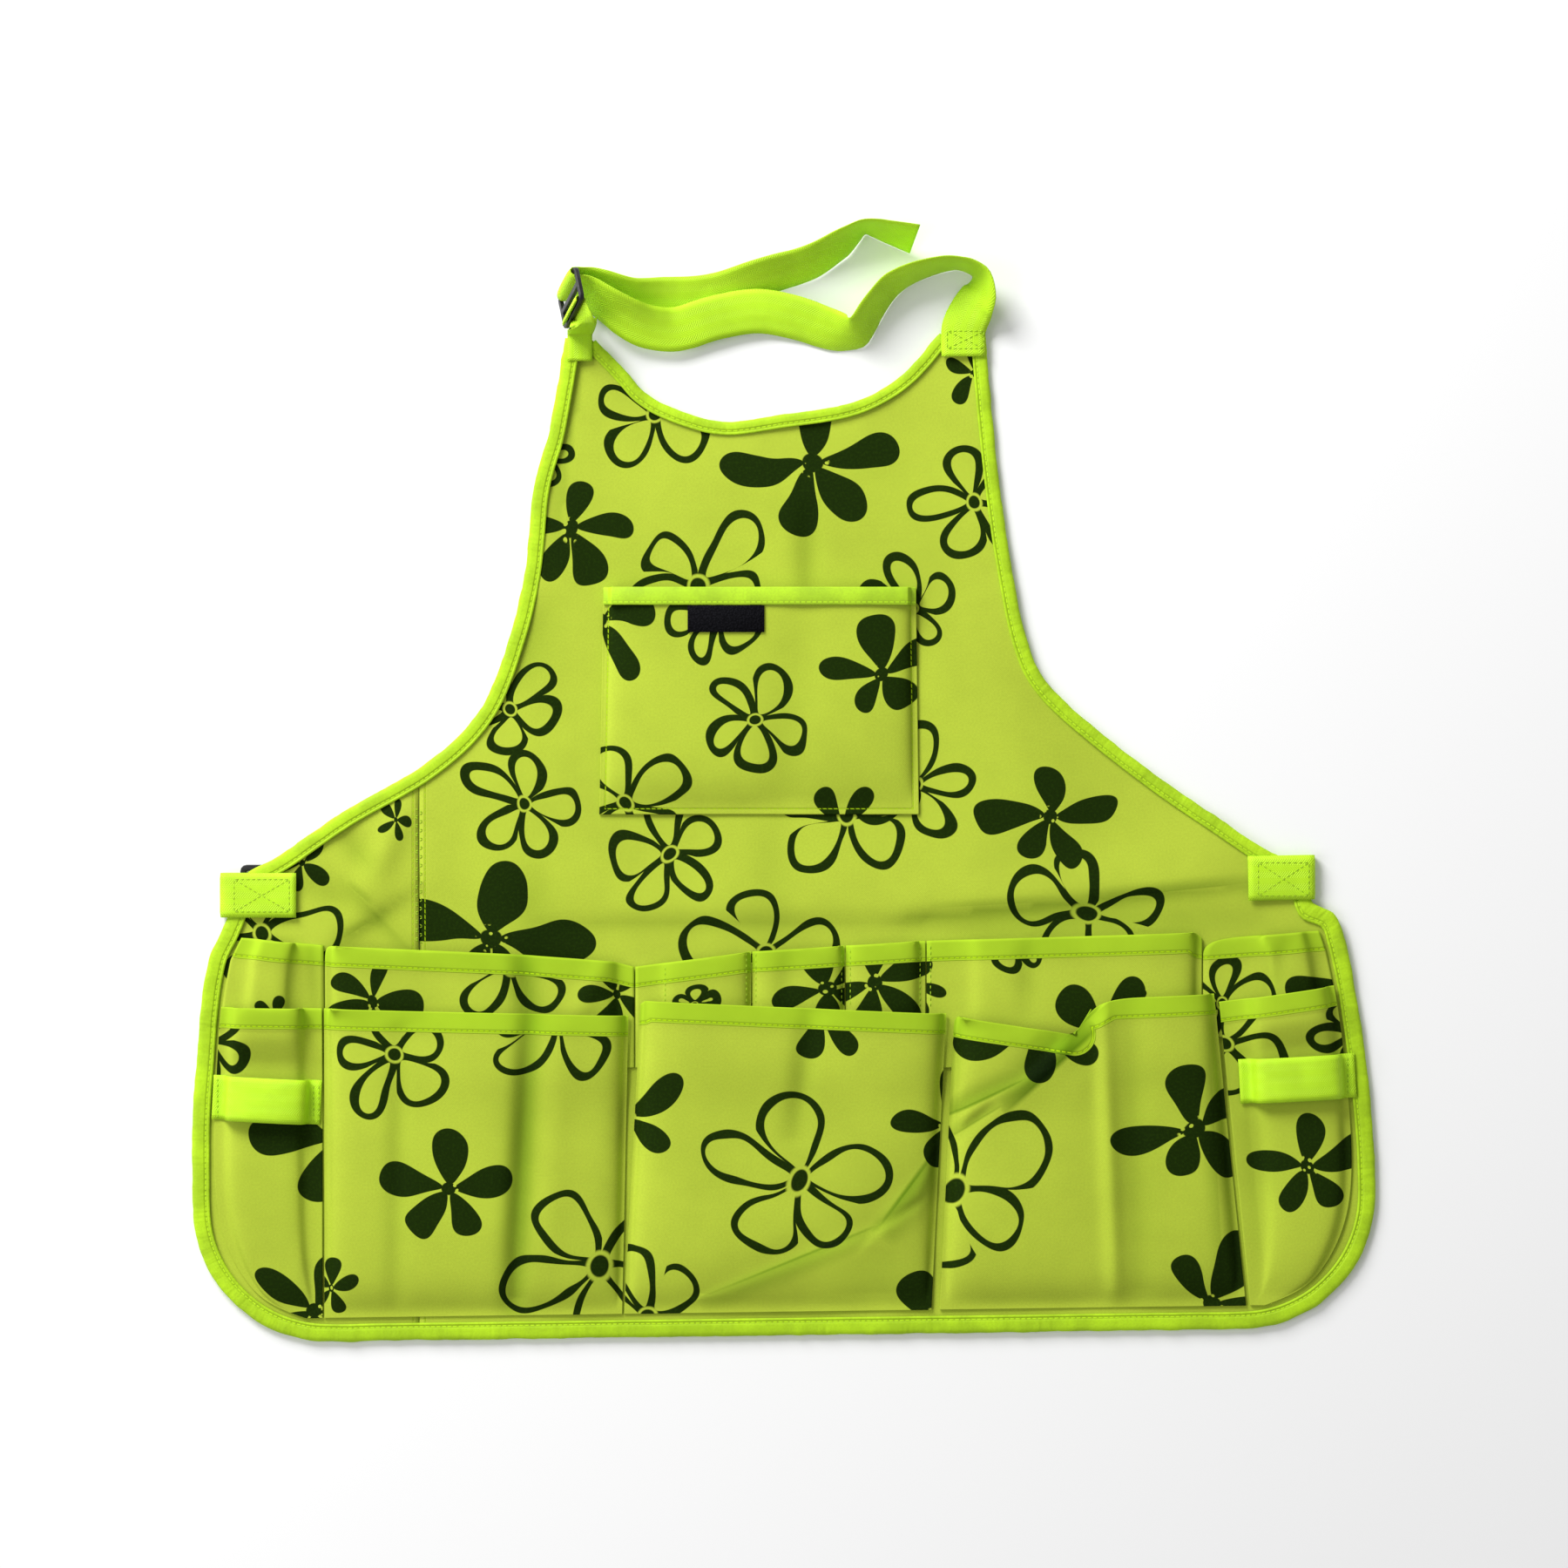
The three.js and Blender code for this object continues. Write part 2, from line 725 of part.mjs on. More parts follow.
const chestRows = [
  { rise: 0, up: 0, seat: 0 },
  { rise: 0.05, up: 0, seat: 0 },
  { rise: 0.16, up: 0.75, seat: 0 },
  { rise: 0.4, up: 0.95, seat: 0 },
  { rise: 0.72, up: 1, seat: 0 },
  { rise: 0.9, up: 1, seat: 1 },
  { rise: 1, up: 1, seat: 1 },
];

const chestSeat = webbing + clear;

function chestPoint(column, row) {
  const left = mix(chest.leftFoot, chest.leftTop, row.rise);
  const right = mix(chest.rightFoot, chest.rightTop, row.rise);
  const x = skirtWidth * mix(left, right, column.across);
  const y = bibHeight * mix(chest.foot, chest.top, row.rise);
  const flatTop = row.up * column.up * chestLift;
  return placed(x, y, onPanel + row.seat * chestSeat + flatTop - row.seat * column.up * chestSeat);
}

const chestWidth = skirtWidth * (chest.rightTop - chest.leftTop);
const chestColumns = pocketColumns({ landLeft: chest.land, landRight: chest.land, folds: chestFace },
  chestWidth);

function chestPocket() {
  const net = chestRows.map((row) => chestColumns.map((column) => chestPoint(column, row)));
  return sheetSolid(net, () => cloth);
}

function chestBinding() {
  const mouth = chestColumns.map((column) => chestPoint(column, chestRows.at(-1)));
  const flat = mouth.map((point) => new THREE.Vector2(point.x, point.z));
  const normals = outwardSteps(flat.slice().reverse(), false).reverse();
  const frames = mouth.map((point, index) => ({
    origin: point.clone().add(new THREE.Vector3(0, webbing + clear, 0)),
    first: new THREE.Vector3(0, 1, 0),
    second: new THREE.Vector3(normals[index].x, 0, normals[index].y).multiplyScalar(-1),
  }));
  if (frames[0].second.z < 0) frames.forEach((frame) => frame.second.negate());
  return sweep(frames, channelSection(chestBindingWidth + webbing + clear, cloth));
}

function hookPatch() {
  const geometry = new THREE.BoxGeometry(patchLength, patchHeight, patchThickness);
  const mouth = bibHeight * chest.top;
  const firstFold = chestColumns.find((column) => column.up === 1);
  const x = chestPoint(firstFold, chestRows.at(-1)).x + patchLength / 2 + clear;
  const y = mouth - chestBindingWidth - clear - patchHeight / 2;
  const face = Math.max(...[-1, 1].flatMap((side) => [-1, 1].map((end) => (
    drape(x + (side * patchLength) / 2, y + (end * patchHeight) / 2)
  ))));
  const z = onPanel + chestLift + face + cloth + clear + patchThickness / 2;
  return geometry.translate(x, y, z);
}

// Webbing: a flat band along a route, with the direction of its width at each point

function smoothRoute(points) {
  const curve = new THREE.CatmullRomCurve3(points, false, 'centripetal');
  return {
    point: (index, share) => curve.getPoint((index + share) / (points.length - 1)),
    along: (index, share) => curve.getTangent((index + share) / (points.length - 1)),
  };
}

function straightRoute(points) {
  const side = (index) => points[Math.min(index + 1, points.length - 1)].clone()
    .sub(points[Math.min(index, points.length - 2)]).normalize();
  return {
    point: (index, share) => points[index].clone().lerp(points[index + 1], share),
    along: (index, share) => {
      if (share === 1) return side(index).add(side(index + 1)).normalize();
      return share === 0 ? side(Math.max(index - 1, 0)).add(side(index)).normalize() : side(index);
    },
  };
}

function ribbon(route, step = strapStep, pathOf = smoothRoute) {
  const path = pathOf(route.map((point) => point.at));
  const frames = [];
  for (let index = 0; index < route.length - 1; index += 1) {
    const from = route[index];
    const to = route[index + 1];
    const parts = Math.max(1, Math.round(from.at.distanceTo(to.at) / step));
    const last = index === route.length - 2 ? parts : parts - 1;
    for (let part = 0; part <= last; part += 1) {
      const share = part / parts;
      const along = path.along(index, share);
      const wide = from.wide.clone().lerp(to.wide, share);
      wide.addScaledVector(along, -wide.dot(along)).normalize();
      const narrowing = mix(from.share ?? 1, to.share ?? 1, share);
      frames.push({
        origin: path.point(index, share),
        first: wide.clone().multiplyScalar(narrowing),
        second: along.clone().cross(wide).normalize(),
      });
    }
  }
  const half = webbingWidth / 2;
  const section = [[-half, -1], [half, -1], [half, 1], [-half, 1]].map(([width, side]) => (
    new THREE.Vector2(width, (side * webbing) / 2)
  ));
  return sweep(frames, section);
}

// Points in the plane of X and Z on an arc round a bar, with angles in degrees.
function roundBar(centre, radius, from, to, steps) {
  return Array.from({ length: steps + 1 }, (_, index) => {
    const angle = THREE.MathUtils.degToRad(mix(from, to, index / steps));
    return [centre.x + radius * Math.cos(angle), centre.z + radius * Math.sin(angle)];
  });
}

// Tool loops over the side pockets

const loopsTable = [
  { name: 'tool_loop_left', side: -1, from: -0.4825, to: -0.391, fromDown: 0.476, toDown: 0.488 },
  { name: 'tool_loop_right', side: 1, from: 0.3845, to: 0.4825, fromDown: 0.442, toDown: 0.428 },
];

const loopBow = [
  { along: 0.16, up: 0.72 },
  { along: 0.3, up: 0.97 },
  { along: 0.5, up: 1 },
  { along: 0.7, up: 0.97 },
  { along: 0.84, up: 0.72 },
];

function toolLoop(loop) {
  const from = loop.from * skirtWidth;
  const to = loop.to * skirtWidth;
  const ends = [onPanel + cloth + clear, onPanel + cloth + clear];
  ends[loop.side < 0 ? 0 : 1] = onBinding;
  const crown = onPanel + sideCrown * lowerLift + cloth + loopClear;
  const tilt = new THREE.Vector3((loop.toDown - loop.fromDown) * skirtHeight, to - from, 0).normalize();
  const landed = loopEndLength / (to - from);
  const rows = [
    { along: 0, z: ends[0] },
    { along: landed, z: ends[0] },
    ...loopBow.map((row) => ({ along: row.along, z: mix(mix(ends[0], ends[1], row.along), crown, row.up) })),
    { along: 1 - landed, z: ends[1] },
    { along: 1, z: ends[1] },
  ];
  return ribbon(rows.map((row) => {
    const x = mix(from, to, row.along);
    const y = -skirtHeight * mix(loop.fromDown, loop.toDown, row.along);
    return { at: placed(x, y, row.z + webbing / 2), wide: tilt };
  }));
}

// Slider and buckle: a flat frame with two slots and a bar between them

function slottedFrame(length, reach, bar, thickness) {
  const x = reach / 2;
  const y = length / 2;
  const steps = 3;
  const outline = [[1, 1], [-1, 1], [-1, -1], [1, -1]].flatMap(([right, top], quarter) => (
    Array.from({ length: steps + 1 }, (_, step) => {
      const angle = (quarter + step / steps) * (Math.PI / 2);
      return new THREE.Vector2(
        right * (x - bar) + bar * Math.cos(angle),
        top * (y - bar) + bar * Math.sin(angle),
      );
    })
  ));
  const shape = new THREE.Shape(outline);
  let frame = toSolid(new THREE.ExtrudeGeometry(shape, { depth: thickness, bevelEnabled: false }));
  const slotReach = x - bar * 1.5;
  for (const side of [-1, 1]) {
    const slot = new THREE.BoxGeometry(slotReach, slotWidth, thickness * 3);
    slot.translate(side * (bar + slotReach) / 2, 0, 0);
    frame = frame.subtract(toSolid(slot));
  }
  return toGeometry(frame).translate(0, 0, -thickness / 2);
}

// The slider stands on a corner: its bars run along barAxis, the straps through it along reachAxis.
const barAxis = new THREE.Vector3().setFromSphericalCoords(
  1,
  THREE.MathUtils.degToRad(90 - sliderRise),
  THREE.MathUtils.degToRad(90 + sliderTurn),
);
barAxis.set(barAxis.x, -barAxis.z, barAxis.y);
const reachAxis = new THREE.Vector3(0, 1, 0).addScaledVector(barAxis, -barAxis.y).normalize();
const faceAxis = reachAxis.clone().cross(barAxis);
const sliderCentre = new THREE.Vector3(
  -bibLeft + sliderInward,
  bibHeight + sliderUpward,
  (sliderLength * barAxis.z - sliderReach * reachAxis.z) / 2 + sliderThickness / 2 + clear,
);
const wrap = Math.hypot(sliderBar, sliderThickness) / 2 + clear + webbing / 2;

function neckSlider() {
  const geometry = slottedFrame(sliderLength, sliderReach, sliderBar, sliderThickness);
  geometry.applyMatrix4(new THREE.Matrix4().makeBasis(reachAxis, barAxis, faceAxis));
  return geometry.translate(sliderCentre.x, sliderCentre.y, sliderCentre.z);
}

// A place beside the slider, measured from its middle along its reach and out of its face.
function besideSlider(reach, out) {
  return sliderCentre.clone().addScaledVector(reachAxis, reach).addScaledVector(faceAxis, out);
}

// The turn of a strap round the slider's upper or lower bar, with angles from its face to its reach.
function sliderTurnPoints(side, from, to, steps) {
  const bar = side * (sliderReach - sliderBar) / 2;
  return Array.from({ length: steps + 1 }, (_, index) => {
    const angle = THREE.MathUtils.degToRad(mix(from, to, index / steps));
    const at = besideSlider(bar + side * wrap * Math.sin(angle), wrap * Math.cos(angle));
    return { at, wide: barAxis };
  });
}

// Neck strap: sewn on the right tip, round the slider's high bar, then on as a free tail

const strapMain = [
  { across: 0.449, up: 0.017, lift: 0, roll: 0 },
  { across: 0.468, up: 0.2, lift: 0.8, roll: 18 },
  { across: 0.49, up: 0.37, lift: 0, roll: 50 },
  { across: 0.487, up: 0.53, lift: 0, roll: 72 },
  { across: 0.437, up: 0.625, lift: 0, roll: 78 },
  { across: 0.353, up: 0.574, lift: 0, roll: 70 },
  { across: 0.274, up: 0.414, lift: 0, roll: 61 },
  { across: 0.226, up: 0.16, lift: 0, roll: 56 },
  { across: 0.192, up: -0.03, lift: 0, roll: 46 },
  { across: 0.138, up: -0.008, lift: 0.5, roll: 30 },
  { across: 0.051, up: 0.11, lift: 1.5, roll: 18 },
  { across: -0.043, up: 0.177, lift: 3.5, roll: 10 },
  { across: -0.147, up: 0.11, lift: 4.5, roll: 6 },
  { across: -0.24, up: 0, lift: 5, roll: 8 },
  { across: -0.32, up: 0.04, lift: 6, roll: 20 },
  { across: -0.39, up: 0.2, lift: 5, roll: 40 },
];

const strapTail = [
  { across: -0.41, up: 0.41, lift: 0.4, roll: 45 },
  { across: -0.345, up: 0.31, lift: 0.3, roll: 32 },
  { across: -0.27, up: 0.3, lift: 0.3, roll: 20 },
  { across: -0.147, up: 0.335, lift: 0.3, roll: 17 },
  { across: -0.022, up: 0.52, lift: 0, roll: 38 },
  { across: 0.082, up: 0.65, lift: 0, roll: 45 },
  { across: 0.155, up: 0.83, lift: 0, roll: 56 },
  { across: 0.21, up: 0.985, lift: 0, roll: 76 },
  { across: 0.265, up: 0.945, lift: 0, roll: 66 },
  { across: 0.332, up: 0.87, lift: 0, roll: 54 },
];

function strapPoints(table, side) {
  const half = webbingWidth / 2;
  const centres = table.map((row) => {
    const roll = THREE.MathUtils.degToRad(row.roll);
    const rest = half * Math.sin(roll) + (webbing / 2) * Math.cos(roll) + clear;
    const x = neckShift + row.across * bibWidth;
    return new THREE.Vector3(x, bibHeight + row.up * strapRise, rest + row.lift);
  });
  return table.map((row, index) => {
    const roll = THREE.MathUtils.degToRad(row.roll);
    const before = centres[Math.max(index - 1, 0)];
    const after = centres[Math.min(index + 1, centres.length - 1)];
    const along = after.clone().sub(before).setZ(0).normalize();
    const aside = new THREE.Vector3(along.y, -along.x, 0).multiplyScalar(side * Math.cos(roll));
    return { at: centres[index], wide: aside.setZ(Math.sin(roll)) };
  });
}

function neckStrap() {
  const main = strapPoints(strapMain, 1);
  const level = onBinding + webbing / 2;
  main[0].at.z = level;
  const sewn = { at: main[0].at.clone().setY(bibHeight - sewnLength), wide: main[0].wide };
  const slotReach = (sliderReach - sliderBar) / 2 - wrap;
  const entry = { at: besideSlider(slotReach, sliderRoom), wide: barAxis };
  const exit = { at: besideSlider(slotReach + 2 * wrap, sliderRoom), wide: barAxis };
  const turn = sliderTurnPoints(1, -90, -270, 5);
  return ribbon([sewn, ...main, entry, ...turn, exit, ...strapPoints(strapTail, -1)]);
}

// Neck stub: sewn on the left tip, rolled on its edge and looped round the slider's lower bar.
// Its approach is in multiples of the wrap's radius, below the bar and out of the slider's face.

const stubApproach = [
  { below: 2.2, out: 1.6, share: 0.75 },
  { below: 0.7, out: 1, share: 0.97 },
];

function neckStub() {
  const level = onBinding + webbing / 2;
  const tipX = -bibLeft + leftTipWidth / 2 + stubInward;
  const tipY = leftArmholeTable[0].up * bibHeight;
  const half = leftTipWidth / 2;
  const slope = (drape(tipX + half, tipY) - drape(tipX - half, tipY)) / leftTipWidth;
  const flat = new THREE.Vector3(1, 0, slope).normalize();
  const narrow = leftTipWidth / webbingWidth;
  const bar = (sliderReach - sliderBar) / 2;
  return ribbon([
    { at: placed(tipX, tipY - sewnLength, level), wide: flat, share: narrow },
    { at: placed(tipX, tipY, level), wide: flat, share: narrow },
    ...stubApproach.map((row) => (
      { at: besideSlider(-bar - row.below * wrap, row.out * wrap), wide: barAxis, share: row.share }
    )),
    ...sliderTurnPoints(-1, 0, -200, 6),
  ], stubStep, straightRoute);
}

// Waist: a buckle under the left corner on a folded stub, and the belt from the right corner to it

// The farthest place of the skirt's edge beside a tab.
function edgeBeside(side, drop) {
  const beside = skirtLine.filter((point) => (
    point.x * side > 0 && point.y > -drop - webbingWidth / 2 - outlineStep / 2
  ));
  return side * Math.max(...beside.map((point) => point.x * side));
}

function waistBuckle() {
  const geometry = slottedFrame(buckleLength, buckleReach, buckleBar, buckleThickness);
  return geometry.translate(buckleX, -leftTabDrop, panelBottom + buckleThickness / 2);
}

const buckleWrap = buckleThickness / 2 + clear + webbing / 2;

function buckleBarAt(side) {
  return { x: buckleX + side * (buckleReach / 2 - buckleBar / 2), z: panelBottom + buckleThickness / 2 };
}

// The turn of a strap round a buckle's bar, from below it to above it, with room for the bar's width.
function buckleTurn(side) {
  const bar = buckleBarAt(side);
  const round = { x: bar.x - (side * buckleBar) / 2, z: bar.z };
  const angles = side < 0 ? [-90, 90] : [-90, -270];
  return roundBar(round, buckleWrap, angles[0], angles[1], 4);
}

function waistRoute(corners, yAt) {
  const wide = new THREE.Vector3(0, 1, 0);
  const route = corners.map(([x, z]) => ({ at: new THREE.Vector3(x, yAt(x), z), wide }));
  return ribbon(route, beltStep, straightRoute);
}

// The turn of a strap round the edge of the cloth, from its front to the floor.
function edgeTurn(side, edgeX, front) {
  const middle = (front + webbing / 2) / 2;
  const half = (front - webbing / 2) / 2;
  const out = tabFold + clear + webbing / 2;
  return [90, 60, 30, 0, -30, -60, -90].map((angle) => {
    const turn = THREE.MathUtils.degToRad(angle);
    const x = edgeX - side * tabFold + side * out * Math.sqrt(Math.cos(turn));
    return [x, middle + half * Math.sin(turn)];
  });
}

function waistStub() {
  const front = onBinding + drape(-waistLeft, -leftTabDrop) + webbing / 2;
  const edgeX = edgeBeside(-1, leftTabDrop);
  const tabEnd = -waistLeft + leftTabLength;
  const bar = buckleBarAt(-1);
  const corners = [
    [tabEnd, onBinding + drape(tabEnd, -leftTabDrop) + webbing / 2],
    ...edgeTurn(-1, edgeX, front),
    ...buckleTurn(-1),
    [bar.x - buckleBar / 2, bar.z + buckleWrap],
  ];
  return waistRoute(corners, () => -leftTabDrop);
}

function waistBelt() {
  const front = onBinding + tabLift + webbing / 2;
  const edgeX = edgeBeside(1, rightTabDrop);
  const tabEnd = waistRight - rightTabLength;
  const bar = buckleBarAt(1);
  const slope = (leftTabDrop - rightTabDrop) / (waistRight - buckleX);
  const corners = [
    [tabEnd, onBinding + drape(tabEnd, -rightTabDrop) + webbing / 2],
    ...edgeTurn(1, edgeX, front),
    [0, webbing / 2],
    [bar.x + strapEnd, webbing / 2],
    ...buckleTurn(1),
    [bar.x + buckleBar / 2, bar.z + buckleWrap],
    [bar.x + strapEnd, webbing * 1.5 + 2 * clear],
  ];
  return waistRoute(corners, (x) => -rightTabDrop - slope * (waistRight - Math.max(x, buckleX)));
}

// Assembly

const apron = new THREE.Group();

function add(name, geometry, look) {
  const mesh = new THREE.Mesh(geometry, new THREE.MeshStandardMaterial(look));
  mesh.name = name;
  apron.add(mesh);
}

const outside = skirtWidth / 2 + clear;
add('main_panel', panel(-seamFromCentre + clear / 2, outside), shade.cloth);
add('left_wing_panel', panel(-outside, -seamFromCentre - clear / 2), shade.cloth);

// The tapes stop short of each other where two edges meet.
const endCut = bindingWidth * 0.85;
const startCut = bindingWidth * 0.75;
const tipCut = 2;
const narrowTipCut = 4;
const leftEdge = trimmed(leftArmhole, tipCut, endCut);
add('left_armhole_binding', binding(leftEdge, armholeBindingWidth), shade.binding);
const rightEdge = trimmed(rightArmhole, endCut, tipCut);
add('right_armhole_binding', binding(rightEdge, armholeBindingWidth), shade.binding);
const skirtEdge = trimmed(skirtLine, startCut, startCut);
add('skirt_binding', binding(skirtEdge, bindingWidth), shade.binding);
const neckEdge = trimmed(neckLine, tipCut, narrowTipCut);
add('neck_binding', binding(neckEdge, neckBindingWidth), shade.binding);

add('chest_pocket', chestPocket(), shade.cloth);
add('chest_pocket_binding', chestBinding(), shade.binding);
add('hook_patch', hookPatch(), shade.hook);

for (const pocket of upperPockets) add(pocket.name, tierPocket(pocket, upperTier), shade.cloth);
for (const pocket of lowerPockets) add(pocket.name, tierPocket(pocket, lowerTier), shade.cloth);
for (const loop of loopsTable) add(loop.name, toolLoop(loop), shade.webbing);

add('neck_strap', neckStrap(), shade.webbing);
add('neck_stub', neckStub(), shade.webbing);
add('neck_slider', neckSlider(), shade.plastic);
add('waist_buckle', waistBuckle(), shade.plastic);
add('waist_stub', waistStub(), shade.webbing);
add('waist_belt', waistBelt(), shade.webbing);

// The origin lies on the floor under the middle of the whole.
const box = new THREE.Box3().setFromObject(apron);
const middle = box.getCenter(new THREE.Vector3());
apron.position.set(-middle.x, -middle.y, -box.min.z);

export default apron;
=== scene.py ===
"""A gardening apron in printed cloth that lies on its back, with bound edges, pockets and straps.

Metres, in the frame of the loaded model: X across the apron, Y from hem to neck, Z up.
"""
import math

import bmesh
import bpy
import numpy as np
from mathutils import Matrix, Vector, noise
from mathutils.bvhtree import BVHTree


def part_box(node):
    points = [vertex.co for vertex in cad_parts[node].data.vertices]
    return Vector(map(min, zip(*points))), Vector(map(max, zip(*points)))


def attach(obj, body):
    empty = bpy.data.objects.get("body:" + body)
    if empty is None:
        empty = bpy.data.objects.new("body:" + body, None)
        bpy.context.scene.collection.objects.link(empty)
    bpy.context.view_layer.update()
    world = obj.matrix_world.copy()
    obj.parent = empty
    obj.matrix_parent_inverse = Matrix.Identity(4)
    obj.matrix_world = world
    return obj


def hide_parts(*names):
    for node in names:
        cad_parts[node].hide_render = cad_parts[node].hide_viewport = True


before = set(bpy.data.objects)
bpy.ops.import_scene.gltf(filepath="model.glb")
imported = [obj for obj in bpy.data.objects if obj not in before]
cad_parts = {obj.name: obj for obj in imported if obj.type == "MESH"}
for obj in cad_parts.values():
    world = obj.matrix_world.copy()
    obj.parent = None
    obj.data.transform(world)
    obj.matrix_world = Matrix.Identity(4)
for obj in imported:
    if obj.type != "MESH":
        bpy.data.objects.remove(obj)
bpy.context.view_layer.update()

bl_info = {
    "name": "Gardening apron",
    "version": (1, 0, 0),
    "blender": (4, 5, 0),
    "location": "View3D > Sidebar > Apron",
    "description": "Dresses a gardening apron with printed cloth, tapes, webbing and stitches",
    "category": "Object",
}

BODY = "root"

# The photograph's plane: its pixels, the size of one of them and where its waist line lies
PHOTO_SIDE = 1800
PIXEL = 0.00049
MIDDLE_COLUMN = 900
WAIST_ROW = 1010
WAIST_X = 0.0001
WAIST_Y = -0.0552

WELD = 1e-5
RIM_NORMAL = 0.04
FLOOR_GAP = 0.00005
TAPE_THICKNESS = 0.0007
# How far a crease's painted shade spreads beside it, as a share of the crease's width
PAINTED_SHADE_SPREAD = 1.3
SEWN_REACH = 0.010


def across(column):
    return (column - MIDDLE_COLUMN) * PIXEL + WAIST_X


def upward(row):
    return (WAIST_ROW - row) * PIXEL + WAIST_Y


# Sizes and colours


def length_property(name, description, default):
    return bpy.props.FloatProperty(
        name=name, description=description, default=default, unit="LENGTH", subtype="DISTANCE"
    )


class ApronSizes(bpy.types.PropertyGroup):
    """Sizes of the cloth, tape and thread."""

    cloth_thickness: length_property("Cloth thickness", "Thickness of the printed cloth", 0.0009)
    hem_band: length_property("Hem band", "Depth of the folded band at a pocket's mouth", 0.0118)
    stitch_length: length_property("Stitch length", "Length of one stitch and the gap after it", 0.0031)
    thread: length_property("Thread", "Half the thickness of the sewing thread", 0.00027)
    panel_grid: length_property("Panel grid", "Spacing of the panel's net of faces", 0.0034)


def colour_property(name, description, default):
    return bpy.props.FloatVectorProperty(
        name=name, description=description, default=default, size=3, subtype="COLOR", min=0, max=1
    )


class ApronColours(bpy.types.PropertyGroup):
    """Colours of the cloth, print, tape, webbing and plastic."""

    cloth: colour_property("Cloth", "Ground of the printed cloth", (0.472, 0.594, 0.05))
    hem: colour_property("Hem", "Plain side of the cloth in the hem bands", (0.37, 0.57, 0.022))
    ink: colour_property("Ink", "Printed flowers", (0.009, 0.022, 0.0008))
    tape: colour_property("Tape", "Binding tape", (0.455, 0.735, 0.009))
    webbing: colour_property("Webbing", "Straps and loops", (0.535, 0.89, 0.014))
    plastic: colour_property("Plastic", "Slider and buckle", (0.006, 0.006, 0.007))
    hook: colour_property("Hook tape", "Hook patch on the chest pocket", (0.002, 0.002, 0.003))


# Meshes read from the loaded model


def welded(node):
    mesh = bmesh.new()
    mesh.from_mesh(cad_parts[node].data)
    bmesh.ops.remove_doubles(mesh, verts=mesh.verts, dist=WELD)
    mesh.normal_update()
    return mesh


def surface_of(*nodes):
    """The faces of some nodes, to be met by straight rays."""
    points, faces = [], []
    for node in nodes:
        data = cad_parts[node].data
        start = len(points)
        points += [vertex.co.copy() for vertex in data.vertices]
        faces += [[start + corner for corner in polygon.vertices] for polygon in data.polygons]
    return BVHTree.FromPolygons(points, faces)


def height_over(surface, x, y, default=None):
    hit = surface.ray_cast(Vector((x, y, 1)), Vector((0, 0, -1)))[0]
    return default if hit is None else hit.z


NUDGES = ((0, 0), (0.0002, 0.0001), (-0.0001, 0.0002), (-0.0002, -0.0002))


def settled_height(surface, place, default):
    """The highest of a few rays beside each other, so that none slips between two faces."""
    heights = [height_over(surface, place.x + x, place.y + y) for x, y in NUDGES]
    return max((height for height in heights if height is not None), default=default)


def finished(name, mesh, material, nodes):
    """An object from a bmesh that rides on the apron and stands for its nodes."""
    data = bpy.data.meshes.new(name)
    mesh.normal_update()
    mesh.to_mesh(data)
    mesh.free()
    for polygon in data.polygons:
        polygon.use_smooth = True
    piece = bpy.data.objects.new(name, data)
    bpy.context.scene.collection.objects.link(piece)
    data.materials.append(material)
    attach(piece, BODY)
    if nodes:
        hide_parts(*nodes)
    return piece


# Cloth


def upper_side(node):
    """The upper side of a cloth node, without its rim and under side."""
    mesh = welded(node)
    under = [face for face in mesh.faces if face.normal.z < RIM_NORMAL]
    bmesh.ops.delete(mesh, geom=under, context="FACES")
    return mesh


def edge_segments(mesh):
    """The edge of a flat piece of cloth: the stretches of its mouth and the other stretches."""
    mouths, others = [], []
    for edge in mesh.edges:
        if not edge.is_boundary:
            continue
        loop = edge.link_loops[0]
        start = loop.vert.co
        end = loop.link_loop_next.vert.co
        along = (end - start).to_2d()
        if along.length == 0:
            continue
        facing_neck = -along.x / along.length
        (mouths if facing_neck > 0.6 else others).append((start.to_2d(), end.to_2d()))
    return mouths, others


def distance_to(points, segments):
    """How far each of the points lies from the nearest of the segments, seen from above."""
    least = np.full(len(points), 1.0)
    for start, end in segments:
        start = np.array(start)
        along = np.array(end) - start
        share = np.clip((points - start) @ along / max(along @ along, 1e-12), 0, 1)
        away = np.linalg.norm(points - start - share[:, None] * along, axis=1)
        least = np.minimum(least, away)
    return least


def relaxed(mesh, turns, share=0.5):
    """Evens the heights of a sheet between neighbours."""
    mesh.verts.ensure_lookup_table()
    heights = np.array([vertex.co.z for vertex in mesh.verts])
    pairs = np.array([[edge.verts[0].index, edge.verts[1].index] for edge in mesh.edges])
    counts = np.bincount(pairs.ravel(), minlength=len(heights))
    for _ in range(turns):
        sums = np.bincount(pairs[:, 0], heights[pairs[:, 1]], len(heights))
        sums += np.bincount(pairs[:, 1], heights[pairs[:, 0]], len(heights))
        heights = (1 - share) * heights + share * sums / np.maximum(counts, 1)
    for vertex, height in zip(mesh.verts, heights):
        vertex.co.z = height


